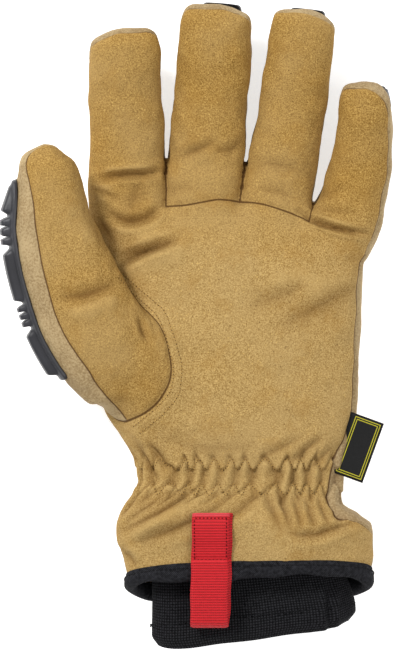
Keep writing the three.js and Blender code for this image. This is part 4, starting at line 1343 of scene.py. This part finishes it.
def strap_path(sewn, hem_top, knit_top):
    """The webbing's middle line from its sewn upper end, over the hem, round the loop and back up: y and z.
    sewn is the leather under its sewn stretch, as places y and heights."""
    layer = STRAP_THICKNESS
    radius = (STRAP_OPENING + layer) / 2
    end_y = STRAP_START - STRAP_LENGTH + radius + layer / 2
    end_z = knit_top + KNIT_CLEARANCE + layer / 2 + radius
    before_hem, past_hem = HEM + HEM_ARCH + 1, HEM + HEM_ARCH - 5
    hanging = (past_hem - 1 + end_y) / 2
    top = [(y, z + UPPER_LAYER * layer) for y, z in sewn] + [
        (before_hem, hem_top + (UPPER_LAYER + HEM_LIFT) * layer),
        (past_hem, hem_top + UPPER_LAYER * layer),
        (hanging, (hem_top + end_z + radius) / 2 + layer),
    ]
    bend = [(end_y - radius * math.sin(a), end_z + radius * math.cos(a)) for a in np.linspace(0, np.pi, 11)]
    under = [
        (hanging, (hem_top + end_z - radius) / 2 - 0.5),
        (past_hem, hem_top + LOWER_LAYER * layer),
        (before_hem, hem_top + (LOWER_LAYER + HEM_LIFT) * layer),
    ] + [(y, z + LOWER_LAYER * layer) for y, z in reversed(sewn)]
    return np.array(top + bend + under)


def pull_loop():
    across = np.linspace(STRAP_LEFT, STRAP_LEFT + STRAP_WIDTH, 9)
    sewn = [(y, float(on_skin([(x, y) for x in across])[0][:, 2].max()))
            for y in np.linspace(STRAP_TOP, STRAP_START - STRAP_PATCH, 5)]
    hem_top = float(hem_ring(*ROLL_CREST, 200)[:, 2].max())
    knit_top = float(knit_points[:, 2].max())
    path = rounded(strap_path(sewn, hem_top, knit_top), 150)
    way = np.gradient(path, axis=0)
    way /= np.linalg.norm(way, axis=1)[:, None]
    out = np.stack([way[:, 1], -way[:, 0]], 1)
    length = lengths_along(path)
    skew = STRAP_SKEW * fade(length, *(length[-1] * share for share in STRAP_SKEW_SPAN))
    half = STRAP_THICKNESS / 2
    across = np.concatenate([np.linspace(0, 1, 13), np.linspace(1, 0, 13)])
    side = np.concatenate([np.ones(13), -np.ones(13)])
    edge = np.minimum(across, 1 - across) * STRAP_WIDTH
    thick = half * np.clip(STRAP_EDGE_SHARE + edge / STRAP_EDGE, 0, 1)
    rows = []
    for (y, z), normal, shift in zip(path, out, skew):
        x = STRAP_LEFT + across * STRAP_WIDTH + shift
        x = x + 0.15 * math.sin(y * 0.4) + STRAP_LEAN * (y - STRAP_TOP)
        lift = thick * side
        rows.append(np.stack([x, y + normal[0] * lift, z + normal[1] * lift], 1))
    points = np.concatenate(rows)
    columns = len(across)
    faces = grid_faces(len(rows), columns, True)
    around = np.append(across * STRAP_WIDTH, 0.0)
    cloth = grid_cloth(len(rows), columns, True, around, length)
    made = mesh_object("webbing_strap", points, faces, FINISHES["red_webbing"], cloth=cloth)
    keep(made, "red_webbing", "pull_loop")
    return path


strap = pull_loop()

# Side label
LABEL_LEAN = 20.0
LABEL_TUCK = 3.0
LABEL_START = 31.0
LABEL_THICKNESS = 0.8
LABEL_INWARD = 1.5
LABEL_CURL = 0.8
LABEL_SAG = 0.25
LABEL_EDGE = 0.6  # over how far it thins to its edges
LABEL_EDGE_SHARE = 0.4


def label():
    """A folded woven label that stands out of the side seam: a thin sheet with a slight curl."""
    y = np.array([LABEL_START])
    _, cz, _, half_depth = body_section(LABEL_START)
    seam = cz + body_at("seam", y)[0] * half_depth
    corner = np.array([body_at("right", y)[0] - LABEL_INWARD, LABEL_START, seam])
    turn = -math.radians(LABEL_LEAN)
    ways = np.array([[math.cos(turn), math.sin(turn), 0], [math.sin(turn), -math.cos(turn), 0]])
    columns, rows = 17, 31
    made = []
    for level in (1, -1):
        for along in np.linspace(0, LABEL_LENGTH, rows):
            for across in np.linspace(-LABEL_TUCK, LABEL_WIDTH, columns):
                curl = LABEL_CURL * (max(across, 0) / LABEL_WIDTH) ** 2
                curl -= LABEL_SAG * math.sin(math.pi * along / LABEL_LENGTH)
                edge = min(LABEL_WIDTH - across, along, LABEL_LENGTH - along)
                half = LABEL_THICKNESS / 2 * min(1.0, LABEL_EDGE_SHARE + edge / LABEL_EDGE)
                raised = np.array([0, 0, curl + level * half])
                made.append(corner + across * ways[0] + along * ways[1] + raised)
    points = np.array(made)
    sheet = grid_faces(rows, columns, False)
    across, along = np.linspace(-LABEL_TUCK, LABEL_WIDTH, columns), np.linspace(0, LABEL_LENGTH, rows)
    cloth = grid_cloth(rows, columns, False, across, along)
    under = sheet + rows * columns
    rim = list(range(columns)) + [k * columns + columns - 1 for k in range(1, rows)]
    rim += [(rows - 1) * columns + k for k in range(columns - 2, -1, -1)]
    rim = np.array(rim + [k * columns for k in range(rows - 2, 0, -1)])
    after = np.roll(rim, -1)
    wall = np.stack([rim, after, after + rows * columns, rim + rows * columns], 1)
    faces = np.concatenate([sheet[:, ::-1], under, wall])
    maps = np.concatenate([cloth[:, ::-1], cloth, np.zeros((len(wall), 4, 2))])
    piece = mesh_object("woven_label", points, faces, FINISHES["black_label"], cloth=maps)
    keep(piece, "black_label", "side_label")


label()

# Impact guards, zone by zone from the root end to the tip end
GUARD_ZONES = (
    ("flange", 0.03),
    ("block", 0.235),
    ("ribs", 0.135),
    ("block", 0.28),
    ("ribs", 0.12),
    ("block", 0.18),
    ("flange", 0.02),
)
GUARD_ROWS = 170
GUARD_FLANGE = 1.7
GUARD_EASE = 0.3
GUARD_LINES = (0.8, 0.89)  # two thin grooves beside the blocks, as shares of half the width
LINE_WIDTH = 0.02
LINE_DEPTH = 0.28
RIB_HEIGHT = 0.95
RIB_SIDES = (0.46, 0.3)  # a rib's foot and top, as shares of the pitch
GUARD_CORNERS = (0.47, 0.03)  # where a rounding starts along a half of the guard, and how long it is
GUARD_ENDS = (0.488, 0.012)
GUARD_RIM = (0.93, 0.07)  # the same across it
CORNER_CUT = 0.25
RIM_SHARE = 0.25
BLOCK_SIDE = 0.07
BLOCK_CROWN = 0.12
RIB_COUNT = 3
BLOCK_SHARE = 0.7
END_SLOPE = 0.03
GUARD_END = 0.8
END_NARROWING = 0.45
GUARDS = {
    "thumb": dict(width=24.0, height=3.6, turn=187, start=0.282, end=0.895, rise=0.0, taper=0.19),
    "index": dict(width=15.0, height=2.7, turn=268, start=0.2, end=0.94, rise=0.37, taper=0.02),
    "middle": dict(width=15.0, height=2.7, turn=277, start=0.2, end=0.985, rise=1.2, taper=0.02),
    "ring": dict(width=15.0, height=2.7, turn=277, start=0.2, end=0.98, rise=0.8, taper=0.02),
    "little": dict(width=15.0, height=2.7, turn=292, start=0.22, end=0.92, rise=0.3, taper=0.02),
}


def guard_height(at):
    """Height of the raised parts along a guard, from 0 to 1."""
    total = np.zeros_like(at)
    start = 0.0
    for kind, length in GUARD_ZONES:
        end = start + length
        if kind == "block":
            block = fade(at, start, start + END_SLOPE) * fade(at, end, end - END_SLOPE)
            total = np.maximum(total, block)
        if kind == "ribs":
            pitch = length / (RIB_COUNT + 0.5)
            for k in range(RIB_COUNT):
                middle = start + (k + 0.75) * pitch
                fin = fade(np.abs(at - middle), *(pitch * share for share in RIB_SIDES))
                total = np.maximum(total, RIB_HEIGHT * fin)
        start = end
    return total


def round_off(away, start, width):
    """1 up to start, and down a quarter circle to 0 over that width."""
    return np.sqrt(np.clip(1 - ((away - start) / width).clip(0, 1) ** 2, 0, 1))


def guard(name, width, height, turn, start, end, rise, taper):
    limb = THUMB if name == "thumb" else LIMBS[name]
    at = np.linspace(0, 1, GUARD_ROWS)
    middle, across, up, sizes = limb.section(limb.place_at(start + (end - start) * at))
    half_width, half_depth = sizes[:, 0], sizes[:, 1]
    ending = np.maximum(0, (at - GUARD_END) / (1 - GUARD_END))
    spread = width * (1 - END_NARROWING * ending**2) / (half_width + half_depth)
    spread *= 1 - CORNER_CUT * (1 - round_off(np.abs(at - 0.5), *GUARD_CORNERS))
    ease = GUARD_EASE + rise * height * ending
    left_rim, right_rim = np.linspace(-0.985, -0.78, 8), np.linspace(0.78, 0.985, 8)
    w = np.concatenate([[-1], left_rim, np.linspace(-0.76, 0.76, 25), right_rim, [1]])
    edge = round_off(np.abs(w), *GUARD_RIM)
    grooves = sum(np.exp(-(((np.abs(w) - line) / LINE_WIDTH) ** 2)) for line in GUARD_LINES)
    block = fade(np.abs(w), BLOCK_SHARE + BLOCK_SIDE, BLOCK_SHARE - BLOCK_SIDE)
    crown = 1 - BLOCK_CROWN * np.abs(w) ** 2
    ends = round_off(np.abs(at - 0.5), *GUARD_ENDS)
    flange = RIM_SHARE + (1 - RIM_SHARE) * edge[None, :] * ends[:, None]
    top = GUARD_FLANGE * flange - LINE_DEPTH * grooves[None, :]
    level = guard_height(at) * np.minimum(1, (1 - at) / taper)
    top = top + height * level[:, None] * (block * crown)[None, :]
    levels = np.concatenate([top, np.zeros_like(top)], 1)
    places = np.concatenate([w, w[::-1]])
    angle = math.radians(turn) + places[None, :] * spread[:, None]
    u, v = superellipse(angle, ROUND)
    out = levels + ease[:, None]
    wide = np.maximum(half_width[:, None] + out, 1)
    deep = np.maximum(half_depth[:, None] + out, 1)
    points = middle[:, None] + across[:, None] * (u * wide)[..., None] + up[:, None] * (v * deep)[..., None]
    points[..., 2] = np.maximum(points[..., 2], 0.0)
    rows, columns = len(at), len(places)
    faces = grid_faces(rows, columns, True)
    caps = []
    for first in (0, (rows - 1) * columns):
        low = first + np.arange(len(w) - 1)
        high = first + columns - 1 - np.arange(len(w) - 1)
        cap = np.stack([low, low + 1, high - 1, high], 1)
        caps.append(cap if first else cap[:, ::-1])
    faces = np.concatenate([faces, *caps])
    made = mesh_object(f"{name}_rubber", points.reshape(-1, 3), faces, FINISHES["black_rubber"])
    keep(made, "black_rubber", f"{name}_guard")


for finger, facts in GUARDS.items():
    guard(finger, **facts)


# Stitches
STITCH_SIDES = 5
# A thread along its length: the place, how thick it is and how high it lies, as shares
STITCH_SHAPE = ((-0.5, 0.35, -0.25), (-0.3, 0.95, 0.1), (0, 1.0, 0.25), (0.3, 0.95, 0.1), (0.5, 0.35, -0.25))


def at_length(where, at, rows):
    """A run's places or normals at a length along it."""
    return np.array([np.interp(where, at, rows[:, k]) for k in range(3)])


def stitches(name, runs, material, slot, pitch, length, thickness, sink=0.0, start=0.5):
    """Short threads along runs of surface points and normals, joined into one piece. start is where the first
    one lies, as a share of the pitch."""
    turn = np.linspace(0, 2 * np.pi, STITCH_SIDES, endpoint=False)
    points, faces = [], []
    for places, normals in runs:
        at = lengths_along(places)
        for middle in np.arange(pitch * start, at[-1], pitch):
            here = at_length(middle, at, places)
            normal = at_length(middle, at, normals)
            normal /= np.linalg.norm(normal)
            way = at_length(middle + 0.5, at, places) - at_length(middle - 0.5, at, places)
            way -= normal * (way @ normal)
            way /= max(np.linalg.norm(way), 1e-6)
            side = np.cross(normal, way)
            first = len(points) * STITCH_SIDES
            for along, thick, lift in STITCH_SHAPE:
                centre = here + way * along * length + normal * (lift * thickness - sink)
                reach = thickness / 2 * thick
                points.append([centre + reach * (math.cos(a) * side + math.sin(a) * normal) for a in turn])
            faces.append(grid_faces(len(STITCH_SHAPE), STITCH_SIDES, True) + first)
    made = mesh_object(name, np.array(points).reshape(-1, 3), np.concatenate(faces), material)
    keep(made, slot)


# Rows of stitches on the palm side, as photograph pixels
THUMB_STITCHES = (
    dict(
        px=(122, 135, 150, 165, 172, 178, 182, 180, 165, 150, 140),
        py=(272, 285, 298, 312, 330, 350, 368, 390, 412, 425, 433),
    ),
    dict(
        px=(118, 130, 144, 158, 165, 170, 174, 172, 158, 144, 134),
        py=(276, 290, 303, 317, 333, 352, 369, 387, 406, 418, 426),
    ),
)
WRIST_STITCHED = (-37, 41)  # the rows' ends, from the middle of the palm


def wrist_rows():
    """Two rows in waves, along the steps between the gathers' pleats."""
    runs = []
    for row, side in zip(GATHER_ROWS, (-1, 1)):
        x = np.linspace(*WRIST_STITCHED, 400)
        cx, _, half_width, _ = body_section(0.0)
        u = (x - cx) / half_width
        v = (1 - np.abs(u) ** SQUARE) ** (1 / SQUARE)
        wave, _ = pleat_wave(u, v, np.full_like(x, row))
        runs.append(on_skin(np.stack([x, row + side * GATHER_WAVE * wave], 1)))
    return runs


thumb_runs = [on_skin(rounded(spot(row["px"], row["py"]), 120)) for row in THUMB_STITCHES]
for group, runs, pitch in (("thumb_seam", thumb_runs, 1.7), ("wrist", wrist_rows(), 1.5)):
    stitches(f"{group}_stitches", runs, TAN_THREAD, "gold_suede", pitch, length=1.0, thickness=0.45)
    # dark bits between the stitches, painted shade of their holes
    stitches(
        f"{group}_stitch_hole_shades", runs, STITCH_HOLE_SHADE, "gold_suede", pitch,
        length=0.55, thickness=0.6, sink=0.2, start=1,
    )


def strap_runs():
    """The box of stitches that holds the webbing's sewn stretch."""
    upper = strap[: len(strap) // 3]
    upper = upper[np.argsort(upper[:, 0])]
    left, right = STRAP_LEFT + 1.0, STRAP_LEFT + STRAP_WIDTH - 1.6
    first, last = STRAP_TOP - 2.0, STRAP_START - STRAP_PATCH - 0.5
    corners = [(left, first), (right, first), (right, last), (left, last), (left, first)]
    runs = []
    for (x0, y0), (x1, y1) in zip(corners[:-1], corners[1:]):
        t = np.linspace(0, 1, 12)
        x, y = x0 + (x1 - x0) * t, y0 + (y1 - y0) * t
        z = np.interp(y, upper[:, 0], upper[:, 1]) + STRAP_THICKNESS / 2
        runs.append((np.stack([x, y, z], 1), np.tile([0.0, 0.0, 1.0], (len(t), 1))))
    return runs


stitches("strap_stitches", strap_runs(), RED_THREAD, "red_webbing", pitch=1.7, length=1.1, thickness=0.55)


def closed_run(ring, u, v):
    """A run of stitches all the way round a ring, given with its shares u and v."""
    normals = np.stack([u**3, np.zeros_like(u), np.sign(v) * np.abs(v) ** 1.7], 1)
    return [(np.concatenate([ring, ring[:1]]), np.concatenate([normals, normals[:1]]))]


def knit_hem_run():
    """A row of stitches round the knit, over its turned edge."""
    ring, u, v = knit_ring(0.86, -0.25, 320)
    share = np.linspace(0, 1, 320, endpoint=False)
    ring[:, 1] += 0.5 * np.sin(2 * np.pi * share * 80)
    return closed_run(ring, u, v)


stitches(
    "knit_hem_stitches", knit_hem_run(), DARK_THREAD, "black_knit", pitch=1.9, length=1.4, thickness=0.55
)


def binding_run():
    """A row of stitches round the binding, near the leather's edge."""
    return closed_run(hem_ring(1.3, -1.5, 360), *section_points(360))


stitches(
    "binding_stitches", binding_run(), DARK_THREAD, "black_binding", pitch=2.0, length=1.5, thickness=0.6
)

# Floor, light and camera
LENS = 300.0
SENSOR = 36.0
AIM_HEIGHT = 22.0
FLOOR_GLOW = 0.6
SKY_STRENGTH = 0.55
LAMPS = (("key", (-0.9, 0.9, 1.3), 0.5, 27), ("fill", (0.9, -0.3, 1.4), 1.0, 10.5))  # place, size and watts


def studio():
    bpy.ops.mesh.primitive_plane_add(size=6.0, location=(0, 0, 0))
    floor = bpy.context.object
    floor.name = "floor"
    made = Finish("pale_floor", roughness=0.9)
    made.shader.inputs["Base Color"].default_value = (0.9, 0.9, 0.9, 1)
    made.shader.inputs["Emission Color"].default_value = (1, 1, 1, 1)
    made.shader.inputs["Emission Strength"].default_value = FLOOR_GLOW
    floor.data.materials.append(made.material)
    world = bpy.data.worlds.new("studio")
    world.use_nodes = True
    world.node_tree.nodes["Background"].inputs["Color"].default_value = (1, 1, 1, 1)
    world.node_tree.nodes["Background"].inputs["Strength"].default_value = SKY_STRENGTH
    bpy.context.scene.world = world
    for name, place, size, power in LAMPS:
        light = bpy.data.lights.new(name, "AREA")
        light.size = size
        light.energy = power
        lamp = bpy.data.objects.new(name, light)
        lamp.location = place
        lamp.rotation_mode = "QUATERNION"
        lamp.rotation_quaternion = (-Vector(place)).to_track_quat("-Z", "Y")
        bpy.context.scene.collection.objects.link(lamp)


def camera():
    """Straight above, so that the picture's middle is where the photograph's is."""
    middle = spot(PICTURE[0] / 2, PICTURE[1] / 2)
    aim = np.array([middle[0], middle[1], AIM_HEIGHT]) * MM + ORIGIN
    tall = PICTURE[1] * PIXEL * MM
    distance = tall / 2 / (SENSOR / 2 / LENS)
    lens = bpy.data.cameras.new("camera")
    lens.lens = LENS
    lens.sensor_width = SENSOR
    lens.clip_end = 20.0
    made = bpy.data.objects.new("camera", lens)
    made.location = (aim[0], aim[1], aim[2] + distance)
    bpy.context.scene.collection.objects.link(made)
    bpy.context.scene.camera = made


studio()
camera()
bpy.context.scene.view_settings.view_transform = "Standard"
